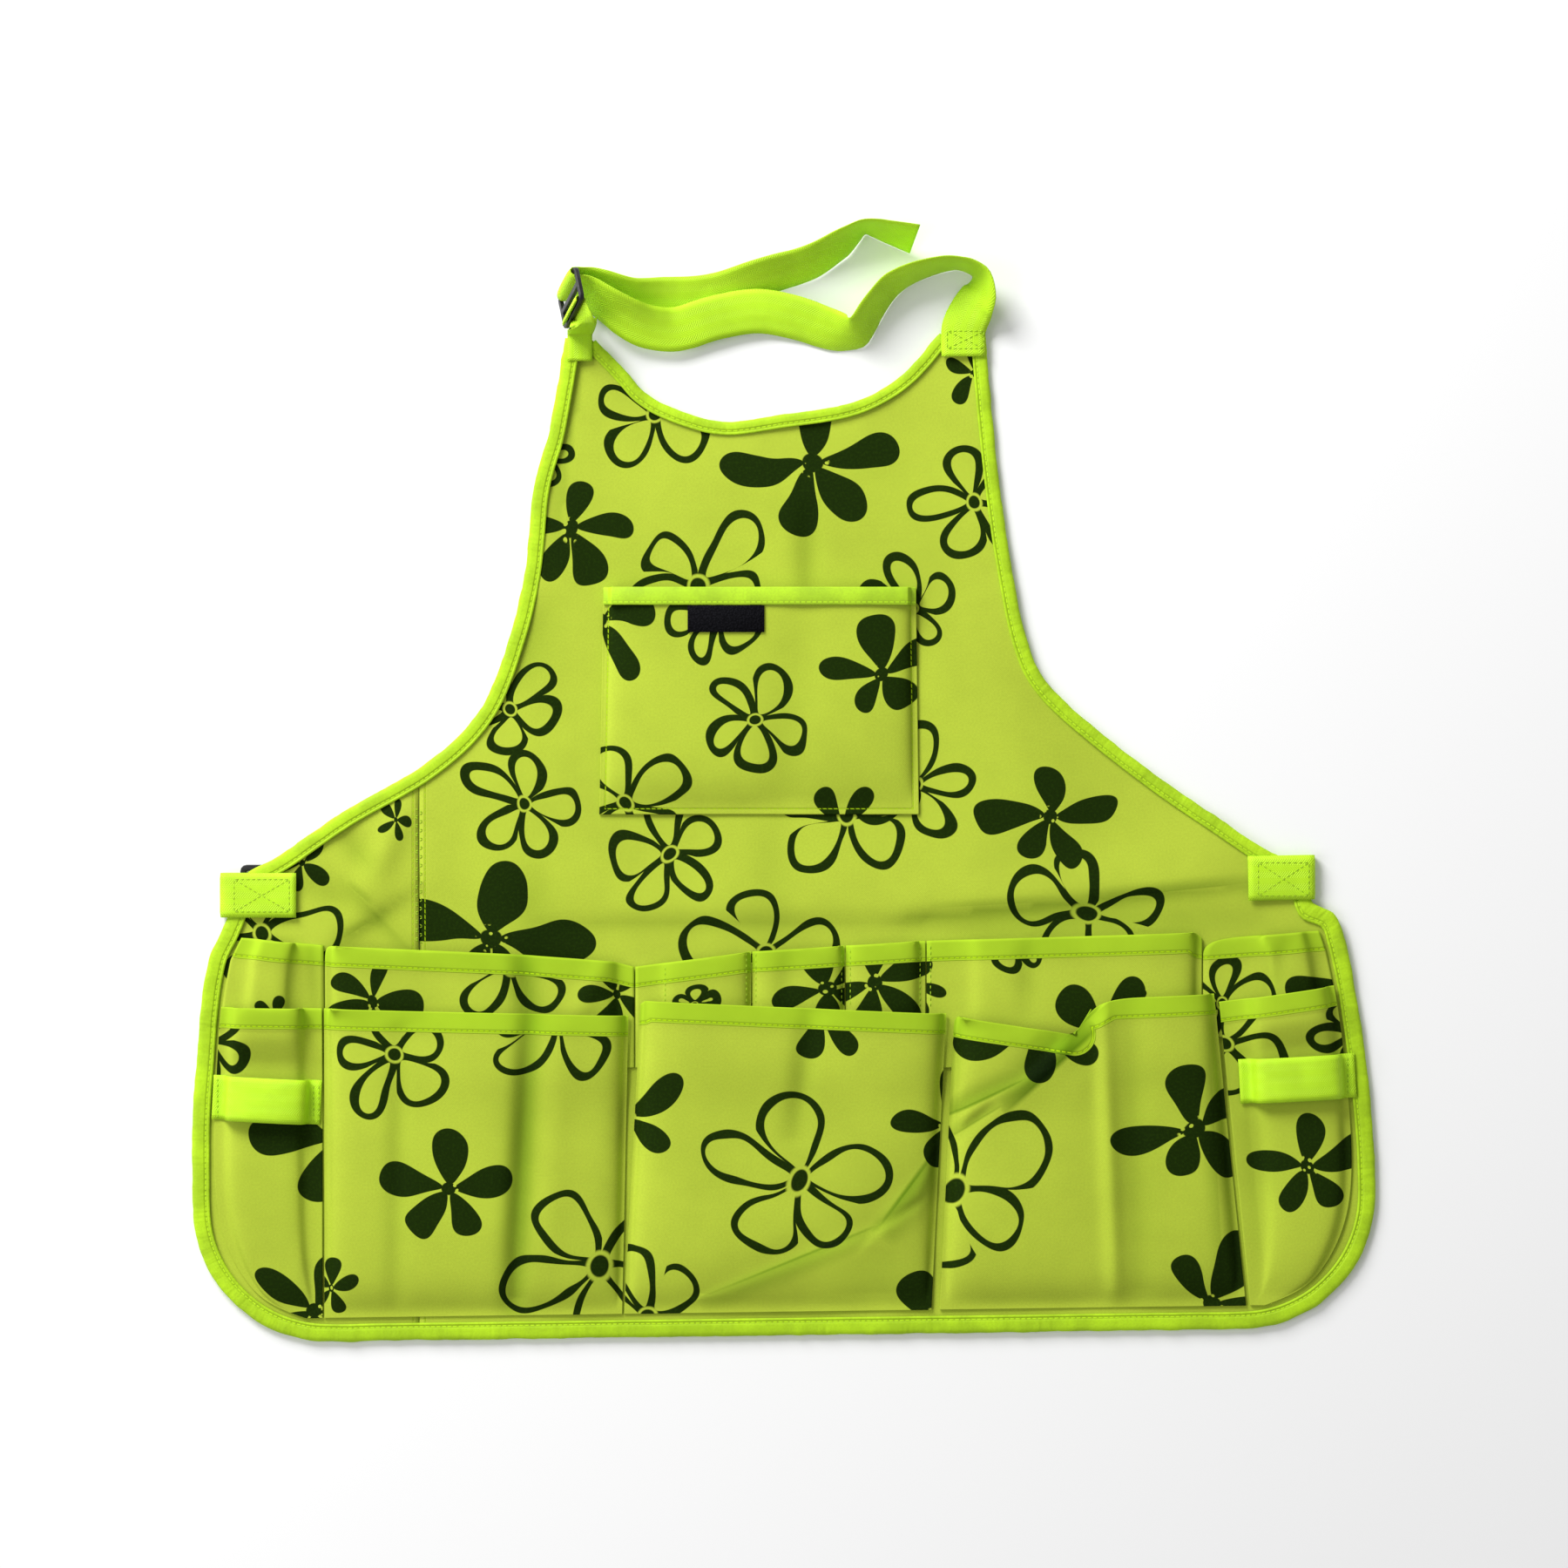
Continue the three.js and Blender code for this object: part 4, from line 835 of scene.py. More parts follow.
def fold_group():
    """Painted shade along a sharp crease: a dark line between two places and a softer painted shade on its
    left.
    """
    graph, given, result = new_group(
        "Painted crease shade",
        {"Place": "vector", "From": "vector", "To": "vector", "Width": "value"},
        {"Line": "value", "Shade": "value"},
    )

    def between(first, second, operation, output=0):
        return graph.node("ShaderNodeVectorMath", {0: first, 1: second}, operation=operation).outputs[output]

    along = between(given["To"], given["From"], "SUBTRACT")
    offset = between(given["Place"], given["From"], "SUBTRACT")
    reach = between(along, along, "DOT_PRODUCT", "Value")
    share = graph.math("DIVIDE", between(offset, along, "DOT_PRODUCT", "Value"), reach, clamp=True)
    nearest = graph.node("ShaderNodeVectorMath", {0: along, "Scale": share}, operation="SCALE").outputs[0]
    away = between(offset, nearest, "DISTANCE", "Value")
    away = graph.math("DIVIDE", away, given["Width"])
    side = graph.split(between(along, offset, "CROSS_PRODUCT"))[2]
    fade = graph.math("MULTIPLY", share, graph.math("SUBTRACT", 1.0, share))
    fade = graph.math("SQRT", graph.math("MULTIPLY", fade, 4.0))
    line = graph.ramp(away, 0.0, 0.16, 1.0, 0.0)
    shaded_side = graph.math("GREATER_THAN", side, 0.0)
    shade = graph.math("MULTIPLY", graph.ramp(away, 0.0, 1.0, 1.0, 0.0), shaded_side)
    graph.feed(result["Line"], graph.math("MULTIPLY", line, fade))
    graph.feed(result["Shade"], graph.math("MULTIPLY", shade, fade))
    return graph.tree


def stitch_group():
    """A line of stitches in the tape's own map: marks between two edges across it."""
    graph, given, result = new_group(
        "Stitch line",
        {"Along": "value", "Away": "value", "Pitch": "value", "Thread": "value"},
        {"Stitch": "value", "Dent": "value"},
    )
    beat = graph.math("FRACT", graph.math("DIVIDE", given["Along"], given["Pitch"]))
    gap = graph.math("ABSOLUTE", graph.math("SUBTRACT", beat, 0.5))
    dash = graph.ramp(gap, 0.3, 0.4, 1.0, 0.0)
    off = graph.math("DIVIDE", graph.math("ABSOLUTE", given["Away"]), given["Thread"])
    line = graph.ramp(off, 0.8, 1.2, 1.0, 0.0)
    graph.feed(result["Stitch"], graph.math("MULTIPLY", dash, line))
    # The dent beside the stitches: a bump, and in the materials a painted shade
    graph.feed(result["Dent"], graph.ramp(off, 0.6, 3.5, 1.0, 0.0))
    return graph.tree


GROUPS = {}
MATERIALS = {}


def shared_groups():
    if not GROUPS:
        GROUPS.update(flower_groups())
        GROUPS["weave"] = weave_group()
        GROUPS["fold"] = fold_group()
        GROUPS["stitch"] = stitch_group()
    return GROUPS


def new_material(name):
    material = bpy.data.materials.new(name)
    material.use_nodes = True
    graph = Graph(material.node_tree)
    for node in list(material.node_tree.nodes):
        material.node_tree.nodes.remove(node)
    shader = graph.node("ShaderNodeBsdfPrincipled")
    graph.node("ShaderNodeOutputMaterial", {"Surface": shader.outputs[0]})
    return material, graph, shader


def printed_cloth(name, flowers, hemmed=False, folds=()):
    """The printed cloth of one piece, with its own flowers and, at a mouth, its plain hem band; painted
    shade darkens its creases and the dents of its stitches.
    """
    groups = shared_groups()
    sizes = bpy.context.scene.apron_sizes
    colours = bpy.context.scene.apron_colours
    material, graph, shader = new_material(name)
    place = graph.uv("Print")
    shift_noise = graph.node("ShaderNodeTexNoise", {"Vector": place, "Scale": 34.0, "Detail": 0.0})
    shift = shift_noise.outputs["Color"]
    shift = graph.node(
        "ShaderNodeVectorMath", {0: shift, 1: (0.5, 0.5, 0.5)}, operation="SUBTRACT"
    ).outputs[0]
    drawn_place = graph.node(
        "ShaderNodeVectorMath", {0: shift, 1: (0.011, 0.011, 0.0), 2: place}, operation="MULTIPLY_ADD"
    ).outputs[0]
    ink = 0.0
    for number, flower in enumerate(flowers):
        x, y, radius, turn, kind = flower
        centre = (across(x), upward(y), 0.0)
        made = graph.group(
            groups[kind],
            {
                "Place": drawn_place,
                "Centre": centre,
                "Radius": radius * PIXEL,
                "Turn": math.radians(turn),
                "Seed": float(number * 3 + len(name)),
                "Spread": min(1.0, max(0.0, (radius - 50) / 40)),
            },
        ).outputs["Ink"]
        ink = made if number == 0 else graph.math("MAXIMUM", ink, made)
    weave = graph.group(groups["weave"], {"Place": place, "Thread": 0.00055}).outputs
    mottle = graph.noise(place, 14.0, Detail=4.0, Roughness=0.6)
    ground = graph.mix(
        graph.ramp(mottle, 0.3, 0.7), colour4(colours.cloth, 0.93), colour4(colours.cloth, 1.05)
    )
    ground = graph.mix(
        graph.ramp(weave["Shade"], 0.35, 0.95), graph.mix(0.12, ground, colour4((0, 0, 0))), ground
    )
    worn = graph.noise(place, 700.0, Detail=1.0)
    dark = graph.mix(graph.ramp(worn, 0.4, 0.8), colour4(colours.ink), colour4(colours.ink, 1.5))
    away = graph.attribute("mouth")
    edge = graph.attribute("edge")
    x, y, _ = graph.split(place)
    height = graph.math("MULTIPLY", weave["Height"], 0.00005)
    height = graph.math("MULTIPLY_ADD", weave["Shade"], 0.00006, height)
    if hemmed:
        hem = graph.ramp(away, sizes.hem_band - 0.0003, sizes.hem_band, 1.0, 0.0)
        ink = graph.math("MULTIPLY", ink, graph.math("SUBTRACT", 1.0, hem))
        hem_tones = (colour4(colours.hem, 0.92), colour4(colours.hem, 1.08))
        plain = graph.mix(graph.ramp(mottle, 0.3, 0.7), *hem_tones)
        ground = graph.mix(hem, ground, plain)
        height = graph.math("MULTIPLY_ADD", hem, 0.0004, height)
        stitch = graph.group(
            groups["stitch"],
            {
                "Along": x,
                "Away": graph.math("SUBTRACT", away, sizes.hem_band - 0.0016),
                "Pitch": sizes.stitch_length,
                "Thread": sizes.thread * 1.3,
            },
        ).outputs
        height = graph.math("MULTIPLY_ADD", stitch["Dent"], -0.00025, height)
        height = graph.math("MULTIPLY_ADD", stitch["Stitch"], 0.0004, height)
    colour = graph.mix(ink, ground, dark)
    # Painted shade: the creases' shade kept on the points, and dark lines with a softer shade along the
    # sharp creases, multiplied in as a dark green
    fold = graph.attribute("fold")
    for first, last, width, line, shade in folds:
        start, end = ((across(x), upward(y), 0.0) for x, y in (first, last))
        given = {"Place": place, "From": start, "To": end, "Width": width}
        made = graph.group(groups["fold"], given).outputs
        fold = graph.math("MAXIMUM", fold, graph.math("MULTIPLY", made["Line"], line))
        fold = graph.math("MAXIMUM", fold, graph.math("MULTIPLY", made["Shade"], shade))
    colour = graph.mix(fold, colour, graph.mix(1.0, colour, (0.22, 0.34, 0.1, 1.0), "MULTIPLY"))
    if hemmed:
        # Painted shade in the dent of the hem's stitching, then the thread's own colour
        colour = graph.mix(graph.math("MULTIPLY", stitch["Dent"], 0.22), colour, colour4((0.1, 0.16, 0.0)))
        colour = graph.mix(stitch["Stitch"], colour, colour4(colours.tape, 0.95))
    else:
        sewn = graph.group(
            groups["stitch"],
            {
                "Along": graph.math("ADD", x, y),
                "Away": graph.math("SUBTRACT", edge, 0.0032),
                "Pitch": sizes.stitch_length,
                "Thread": sizes.thread,
            },
        ).outputs
        height = graph.math("MULTIPLY_ADD", sewn["Dent"], -0.0002, height)
        height = graph.math("MULTIPLY_ADD", sewn["Stitch"], 0.0003, height)
        # Painted shade in the dent of the edge stitching, then the thread's own colour
        colour = graph.mix(graph.math("MULTIPLY", sewn["Dent"], 0.16), colour, colour4((0.12, 0.18, 0.0)))
        colour = graph.mix(graph.math("MULTIPLY", sewn["Stitch"], 0.8), colour, colour4(colours.tape, 0.85))
    graph.feed(shader.inputs["Base Color"], colour)
    rough = graph.math("MULTIPLY_ADD", mottle, 0.12, 0.8)
    graph.feed(shader.inputs["Roughness"], graph.math("MULTIPLY_ADD", ink, -0.08, rough))
    shader.inputs["Specular IOR Level"].default_value = 0.05
    graph.bump(shader, height)
    return material


def tape_ground(graph, colours, patches, weave):
    """The tape's colour: patches of tone, darker between the threads of the weave."""
    tones = (colour4(colours.tape, 0.84), colour4(colours.tape, 1.06))
    ground = graph.mix(graph.ramp(patches, 0.35, 0.7), *tones)
    darker = graph.mix(0.14, ground, colour4((0, 0, 0)))
    return graph.mix(graph.ramp(weave["Shade"], 0.3, 0.9), darker, ground)


def tape_material():
    groups = shared_groups()
    sizes = bpy.context.scene.apron_sizes
    colours = bpy.context.scene.apron_colours
    material, graph, shader = new_material("binding_tape")
    place = graph.uv("Tape")
    along, aside, _ = graph.split(place)
    weave = graph.group(groups["weave"], {"Place": place, "Thread": 0.0005}).outputs
    patches = graph.noise(place, 60.0, Detail=3.0)
    ground = tape_ground(graph, colours, patches, weave)
    stitch = graph.group(
        groups["stitch"],
        {
            "Along": along,
            "Away": graph.math("ADD", aside, 0.0022),
            "Pitch": sizes.stitch_length,
            "Thread": sizes.thread * 1.4,
        },
    ).outputs
    # Painted shade in the dent of the stitching, then the thread's own colour
    colour = graph.mix(graph.math("MULTIPLY", stitch["Dent"], 0.35), ground, colour4(colours.tape, 0.5))
    colour = graph.mix(stitch["Stitch"], colour, colour4(colours.tape, 1.1))
    graph.feed(shader.inputs["Base Color"], colour)
    graph.feed(shader.inputs["Roughness"], graph.math("MULTIPLY_ADD", patches, 0.15, 0.62))
    shader.inputs["Specular IOR Level"].default_value = 0.3
    puckers = graph.node(
        "ShaderNodeTexNoise",
        {
            "Vector": graph.node(
                "ShaderNodeVectorMath", {0: place, 1: (1.0, 0.25, 1.0)}, operation="MULTIPLY"
            ).outputs[0],
         "Scale": 330.0, "Detail": 1.0},
    ).outputs["Fac"]
    height = graph.math("MULTIPLY", puckers, 0.0005)
    height = graph.math("MULTIPLY_ADD", weave["Height"], 0.00005, height)
    height = graph.math("MULTIPLY_ADD", stitch["Dent"], -0.00035, height)
    height = graph.math("MULTIPLY_ADD", stitch["Stitch"], 0.0003, height)
    graph.bump(shader, height)
    return material


def webbing_material():
    """Webbing with slanting ribs across it."""
    colours = bpy.context.scene.apron_colours
    material, graph, shader = new_material("webbing_weave")
    place = graph.uv("Tape")
    along, aside, _ = graph.split(place)
    slant = graph.math("MULTIPLY_ADD", graph.math("PINGPONG", aside, 0.0035), 0.8, along)
    ribs = graph.math("SINE", graph.math("MULTIPLY", slant, 2 * math.pi / 0.0013))
    threads = graph.math("SINE", graph.math("MULTIPLY", aside, 2 * math.pi / 0.0009))
    patches = graph.noise(place, 35.0, Detail=4.0)
    grain = graph.noise(place, 1400.0)
    ground = graph.mix(
        graph.ramp(patches, 0.3, 0.7), colour4(colours.webbing, 0.9), colour4(colours.webbing, 1.08)
    )
    low = graph.math("MULTIPLY_ADD", ribs, 0.5, 0.5)
    shade = graph.math("MULTIPLY_ADD", low, 0.5, graph.math("MULTIPLY", grain, 0.5))
    ground = graph.mix(graph.ramp(shade, 0.15, 0.6), graph.mix(0.16, ground, colour4((0, 0.02, 0))), ground)
    graph.feed(shader.inputs["Base Color"], ground)
    graph.feed(shader.inputs["Roughness"], graph.math("MULTIPLY_ADD", grain, 0.2, 0.5))
    shader.inputs["Specular IOR Level"].default_value = 0.35
    height = graph.math("MULTIPLY", ribs, 0.00009)
    height = graph.math("MULTIPLY_ADD", threads, 0.00003, height)
    height = graph.math("MULTIPLY_ADD", grain, 0.0001, height)
    graph.bump(shader, height, 0.9)
    return material


def plastic_material():
    colours = bpy.context.scene.apron_colours
    material, graph, shader = new_material("moulded_plastic")
    place = graph.object_place()
    grain = graph.noise(place, 900.0, Detail=3.0)
    scuffs = graph.noise(place, 160.0, Detail=5.0)
    colour = graph.mix(graph.ramp(scuffs, 0.5, 0.8), colour4(colours.plastic), colour4(colours.plastic, 3.0))
    graph.feed(shader.inputs["Base Color"], colour)
    graph.feed(shader.inputs["Roughness"], graph.ramp(scuffs, 0.3, 0.8, 0.34, 0.55))
    height = graph.math("MULTIPLY", grain, 0.00006)
    graph.bump(shader, height, 0.6)
    return material


def hook_material():
    colours = bpy.context.scene.apron_colours
    material, graph, shader = new_material("hook_tape")
    place = graph.object_place()
    cells = graph.node("ShaderNodeTexVoronoi", {"Vector": place, "Scale": 900.0}).outputs["Distance"]
    colour = graph.mix(graph.ramp(cells, 0.0, 0.6), colour4(colours.hook, 2.5), colour4(colours.hook))
    graph.feed(shader.inputs["Base Color"], colour)
    graph.feed(shader.inputs["Roughness"], graph.ramp(cells, 0.0, 0.8, 0.7, 0.95))
    shader.inputs["Specular IOR Level"].default_value = 0.1
    graph.bump(shader, graph.math("MULTIPLY", cells, -0.0005), 0.9)
    return material


def thread_material():
    colours = bpy.context.scene.apron_colours
    material, graph, shader = new_material("sewing_thread")
    place = graph.object_place()
    twist = graph.noise(place, 1600.0)
    # The thread's own colour, made darker than the tape as painted shade of the dents the stitches sink into
    colour = graph.mix(graph.ramp(twist, 0.3, 0.7), colour4(colours.tape, 0.62), colour4(colours.tape, 0.9))
    graph.feed(shader.inputs["Base Color"], colour)
    graph.feed(shader.inputs["Roughness"], graph.ramp(twist, 0.3, 0.7, 0.5, 0.7))
    return material


def material_for(key, maker):
    if key not in MATERIALS:
        MATERIALS[key] = maker()
    return MATERIALS[key]


# The print: each flower's centre and radius in the photograph's pixels, its turn and its kind

PANEL_FLOWERS = (
    (755, 477, 84, 309, "drawn"),
    (935, 538, 112, 170, "filled"),
    (1120, 577, 84, 107, "drawn"),
    (1122, 426, 40, 165, "filled"),
    (624, 520, 38, 290, "drawn"),
    (657, 611, 78, 158, "filled"),
    (806, 668, 96, 134, "drawn"),
    (1040, 696, 62, 25, "drawn"),
    (586, 808, 70, 120, "drawn"),
    (600, 922, 74, 80, "drawn"),
    (768, 982, 78, 28, "drawn"),
    (975, 932, 94, 309, "drawn"),
    (1048, 897, 78, 294, "drawn"),
    (1202, 940, 88, 163, "filled"),
    (1245, 1048, 98, 92, "drawn"),
    (566, 1078, 126, 156, "filled"),
    (880, 1092, 98, 100, "drawn"),
)

WING_FLOWERS = (
    (452, 938, 26, 210, "filled"),
    (352, 990, 30, 40, "filled"),
    (304, 1074, 96, 90, "drawn"),
)

CHEST_FLOWERS = (
    (688, 716, 84, 100, "filled"),
    (822, 705, 66, 178, "drawn"),
    (866, 828, 66, 60, "drawn"),
    (1010, 768, 78, 170, "filled"),
    (718, 920, 80, 108, "drawn"),
    (968, 946, 54, 48, "filled"),
)

UPPER_FLOWERS = {
    "upper_side_left": ((316, 1168, 26, 0, "filled"),),
    "upper_pocket_left": (
        (430, 1152, 66, 70, "filled"),
        (592, 1106, 84, 309, "drawn"),
        (706, 1140, 44, 180, "filled"),
    ),
    "tool_slot_left": ((798, 1152, 24, 90, "drawn"),),
    "tool_slot_middle": ((952, 1128, 80, 190, "filled"),),
    "tool_slot_right": ((1004, 1128, 92, 176, "filled"),),
    "upper_pocket_right": (
        (1052, 1130, 34, 350, "filled"),
        (1165, 1078, 34, 250, "drawn"),
        (1262, 1182, 84, 205, "filled"),
        (1300, 1152, 26, 60, "filled"),
    ),
    "upper_side_right": ((1405, 1148, 58, 84, "drawn"), (1548, 1130, 82, 172, "filled")),
}

LOWER_FLOWERS = {
    "lower_side_left": (
        (246, 1195, 48, 330, "drawn"),
        (390, 1312, 104, 161, "filled"),
        (362, 1500, 84, 138, "filled"),
    ),
    "lower_pocket_left": (
        (452, 1210, 80, 173, "drawn"),
        (640, 1172, 98, 309, "drawn"),
        (513, 1362, 82, 160, "filled"),
        (690, 1456, 132, 123, "drawn"),
        (382, 1474, 34, 10, "filled"),
    ),
    "lower_pocket_middle": (
        (712, 1282, 86, 185, "filled"),
        (946, 1166, 70, 170, "filled"),
        (915, 1355, 124, 89, "drawn"),
        (1094, 1286, 74, 165, "filled"),
        (745, 1506, 82, 33, "drawn"),
        (1078, 1510, 92, 205, "filled"),
    ),
    "lower_pocket_right": (
        (1196, 1172, 106, 183, "filled"),
        (1092, 1364, 132, 112, "drawn"),
        (1368, 1292, 98, 180, "filled"),
        (1392, 1498, 104, 215, "filled"),
    ),
    "lower_side_right": (
        (1402, 1196, 80, 62, "drawn"),
        (1548, 1185, 46, 120, "drawn"),
        (1500, 1336, 78, 165, "filled"),
    ),
}

# Creases: from and to in the photograph's pixels, width, height, how dark the painted shade along it is, and
# whether one is a step

PANEL_CREASES = (
    ((640, 1056), (1050, 1052), 0.0045, 0.002, 0.2, True),
    ((1040, 1052), (1440, 1014), 0.004, 0.0026, 0.4, True),
    ((928, 590), (932, 690), 0.007, -0.0024, 0.22, False),
    ((672, 400), (640, 640), 0.006, 0.0022, 0.3, True),
    ((622, 700), (600, 780), 0.012, -0.0018, 0.3, False),
    ((610, 480), (625, 800), 0.016, 0.0014, 0.35, False),
    ((1120, 700), (1210, 930), 0.02, 0.0016, 0.35, False),
    ((560, 960), (760, 1080), 0.018, 0.0006, 0.35, False),
    ((610, 1000), (615, 1090), 0.01, -0.0001, 0.25, False),
    ((880, 930), (888, 1080), 0.012, -0.0001, 0.12, False),
    ((1060, 1062), (1440, 1054), 0.008, -0.0004, 0.25, False),
)

WING_CREASES = (
    ((398, 1010), (475, 1092), 0.005, 0.0026, 0.3, True),
    ((392, 1078), (462, 1030), 0.004, 0.0024, 0.3, True),
    ((425, 1015), (462, 935), 0.008, 0.0026, 0.0, False),
    ((350, 1010), (400, 1045), 0.007, -0.0018, 0.2, False),
    ((400, 960), (430, 1000), 0.006, -0.0018, 0.25, False),
)

CHEST_CREASES = (
    ((925, 690), (905, 930), 0.012, -0.0014, 0.06, False),
    ((720, 760), (860, 930), 0.02, 0.001, 0.35, False),
)

UPPER_CREASES = {
    "upper_side_left": (
        ((362, 1080), (366, 1160), 0.003, -0.0014, 0.2, False),
    ),
    "upper_pocket_left": (
        ((600, 1090), (612, 1190), 0.0065, -0.003, 0.6, False),
        ((700, 1095), (660, 1170), 0.006, 0.0014, 0.35, False),
    ),
    "tool_slot_middle": (
        ((905, 1090), (900, 1160), 0.006, -0.0012, 0.15, False),
    ),
    "upper_pocket_right": (
        ((1180, 1080), (1182, 1160), 0.006, -0.0014, 0.15, False),
    ),
    "upper_side_right": (
        ((1470, 1075), (1462, 1150), 0.006, -0.0014, 0.2, False),
    ),
}

LOWER_CREASES = {
    "lower_side_left": (
        ((300, 1180), (310, 1480), 0.018, -0.0012, 0.08, False),
    ),
    "lower_pocket_left": (
        ((612, 1150), (590, 1508), 0.0062, -0.0042, 0.72, False),
        ((645, 1180), (628, 1440), 0.01, 0.0016, 0.35, False),
        ((462, 1180), (456, 1500), 0.006, -0.0014, 0.16, False),
    ),
    "lower_pocket_middle": (
        ((1072, 1330), (1004, 1414), 0.003, 0.0036, 0.5, True),
        ((1006, 1410), (812, 1484), 0.0026, 0.0032, 0.5, True),
        ((930, 1165), (915, 1300), 0.007, -0.0022, 0.2, False),
        ((1010, 1405), (1060, 1375), 0.0025, -0.0012, 0.25, False),
        ((1020, 1430), (1000, 1500), 0.02, -0.0016, 0.12, False),
    ),
    "lower_pocket_right": (
        ((1256, 1160), (1180, 1232), 0.0026, 0.0042, 0.7, True),
        ((1186, 1230), (1072, 1284), 0.0026, 0.003, 0.5, True),
        ((1264, 1150), (1280, 1500), 0.005, 0.0024, 0.0, False),
        ((1296, 1150), (1310, 1500), 0.009, -0.002, 0.2, False),
        ((1098, 1160), (1078, 1290), 0.006, -0.0016, 0.3, False),
        ((1392, 1180), (1424, 1480), 0.004, -0.0012, 0.2, False),
        ((1140, 1265), (1100, 1300), 0.003, -0.0014, 0.2, False),
    ),
    "lower_side_right": (
        ((1440, 1200), (1452, 1480), 0.012, -0.0016, 0.15, False),
    ),
}

# Sharp creases darkened with painted shade: from and to in the photograph's pixels, width of the painted
# shade, how dark its line and its softer shade are

FOLD_SHADES = {
    "main_panel": (
        ((1060, 1042), (1250, 1032), 0.006, 0.35, 0.3),
        ((1230, 1034), (1440, 1012), 0.008, 0.55, 0.45),
        ((932, 700), (930, 585), 0.009, 0.12, 0.2),
    ),
    "left_wing_panel": (
        ((398, 1012), (430, 1040), 0.006, 0.4, 0.35),
        ((392, 1078), (452, 1040), 0.007, 0.45, 0.4),
        ((400, 965), (428, 1000), 0.008, 0.2, 0.3),
    ),
    "lower_pocket_left": (
        ((590, 1500), (614, 1170), 0.009, 0.25, 0.3),
    ),
    "lower_pocket_middle": (
        ((1080, 1312), (1002, 1416), 0.02, 0.95, 0.75),
        ((1030, 1396), (800, 1490), 0.014, 0.8, 0.6),
        ((1066, 1374), (1004, 1410), 0.008, 0.6, 0.5),
    ),
    "lower_pocket_right": (
        ((1150, 1276), (1258, 1176), 0.022, 0.95, 0.9),
        ((1056, 1294), (1206, 1222), 0.014, 0.9, 0.7),
        ((1084, 1308), (1156, 1262), 0.009, 0.6, 0.45),
        ((1404, 1500), (1386, 1180), 0.01, 0.1, 0.25),
    ),
}

# Seams sewn with single stitches: where they run in the photograph's pixels and what they lie on


def crossed_box(left, top, right, bottom):
    """A square of stitches with a cross in it, as one run."""
    corners = ((left, top), (right, top), (right, bottom), (left, bottom), (left, top))
    return (*corners, (right, bottom), (right, top), (left, bottom))


def zigzag(column, top, bottom, swing, step):
    count = int((bottom - top) / step)
    return tuple((column + (swing if i % 2 else -swing), top + i * step) for i in range(count + 1))


SEAMS = (
    {"run": crossed_box(271, 1009, 334, 1046), "on": ("waist_stub_webbing",)},
    {"run": crossed_box(1443, 990, 1501, 1028), "on": ("waist_belt_webbing",)},
    {"run": crossed_box(1087, 381, 1129, 401), "on": ("neck_strap_webbing",)},
    {"run": ((367, 1232), (367, 1288)), "on": ("tool_loop_left_webbing",)},
    {"run": ((361, 1232), (361, 1288)), "on": ("tool_loop_left_webbing",)},
    {"run": ((251, 1236), (251, 1284)), "on": ("tool_loop_left_webbing",)},
    {"run": ((1412, 1212), (1412, 1266)), "on": ("tool_loop_right_webbing",)},
    {"run": ((1546, 1212), (1546, 1262)), "on": ("tool_loop_right_webbing",)},
    {"run": ((764, 1096), (764, 1150)), "on": ("tool_slot_left_cloth", "tool_slot_middle_cloth")},
    {"run": ((857, 1092), (857, 1152)), "on": ("tool_slot_left_cloth", "tool_slot_middle_cloth")},
    {"run": ((868, 1092), (868, 1152)), "on": ("tool_slot_middle_cloth",)},
    {"run": ((966, 1088), (966, 1154)), "on": ("tool_slot_middle_cloth",)},
    {"run": ((976, 1088), (976, 1154)), "on": ("tool_slot_right_cloth",)},
    {"run": ((1056, 1084), (1056, 1156)), "on": ("tool_slot_right_cloth",)},
    {"run": ((1068, 1084), (1068, 1156)), "on": ("upper_pocket_right_cloth",)},
    {"run": zigzag(481.5, 928, 1086, 4.5, 5), "on": ("main_panel_cloth", "left_wing_panel_cloth")},
)


# Operators


class APRON_OT_stage(bpy.types.Operator):
    """Lays the pale floor, and sets the camera and the soft lights."""

    bl_idname = "apron.stage"
    bl_label = "Floor, camera and lights"

    def execute(self, context):
        scene = context.scene
        mesh = bmesh.new()
        bmesh.ops.create_grid(mesh, x_segments=1, y_segments=1, size=6.0)
        data = bpy.data.meshes.new("floor")
        mesh.to_mesh(data)
        mesh.free()
        floor = bpy.data.objects.new("floor", data)
        scene.collection.objects.link(floor)
        material, graph, shader = new_material("pale_floor")
        shader.inputs["Base Color"].default_value = (0.93, 0.93, 0.93, 1)
        shader.inputs["Roughness"].default_value = 0.9
        shader.inputs["Specular IOR Level"].default_value = 0.1
        data.materials.append(material)
        lens = 120
        film = 36
        camera_data = bpy.data.cameras.new("camera")
        camera_data.lens = lens
        camera_data.sensor_width = film
        camera_data.clip_end = 50
        camera = bpy.data.objects.new("camera", camera_data)
        scene.collection.objects.link(camera)
        distance = PHOTO_SIDE * PIXEL * lens / film
        middle = PHOTO_SIDE / 2
        camera.location = (across(middle), upward(middle), distance)
        scene.camera = camera
        world = bpy.data.worlds.new("surroundings")
        world.use_nodes = True
        world.node_tree.nodes["Background"].inputs["Color"].default_value = (1, 1, 1, 1)
        world.node_tree.nodes["Background"].inputs["Strength"].default_value = 0.38
        scene.world = world
        lights = (
            ("window_light", (-1.3, 1.9, 1.35), 1.3, 92.0),
            ("side_light", (-2.2, -0.4, 2.0), 1.8, 24.0),
        )
        for name, place, size, power in lights:
            lamp = bpy.data.lights.new(name, "AREA")
            lamp.size = size
            lamp.energy = power
            holder = bpy.data.objects.new(name, lamp)
            holder.location = place
            holder.rotation_euler = Vector(place).to_track_quat("Z", "Y").to_euler()
            scene.collection.objects.link(holder)
        scene.view_settings.view_transform = "Standard"
        return {"FINISHED"}


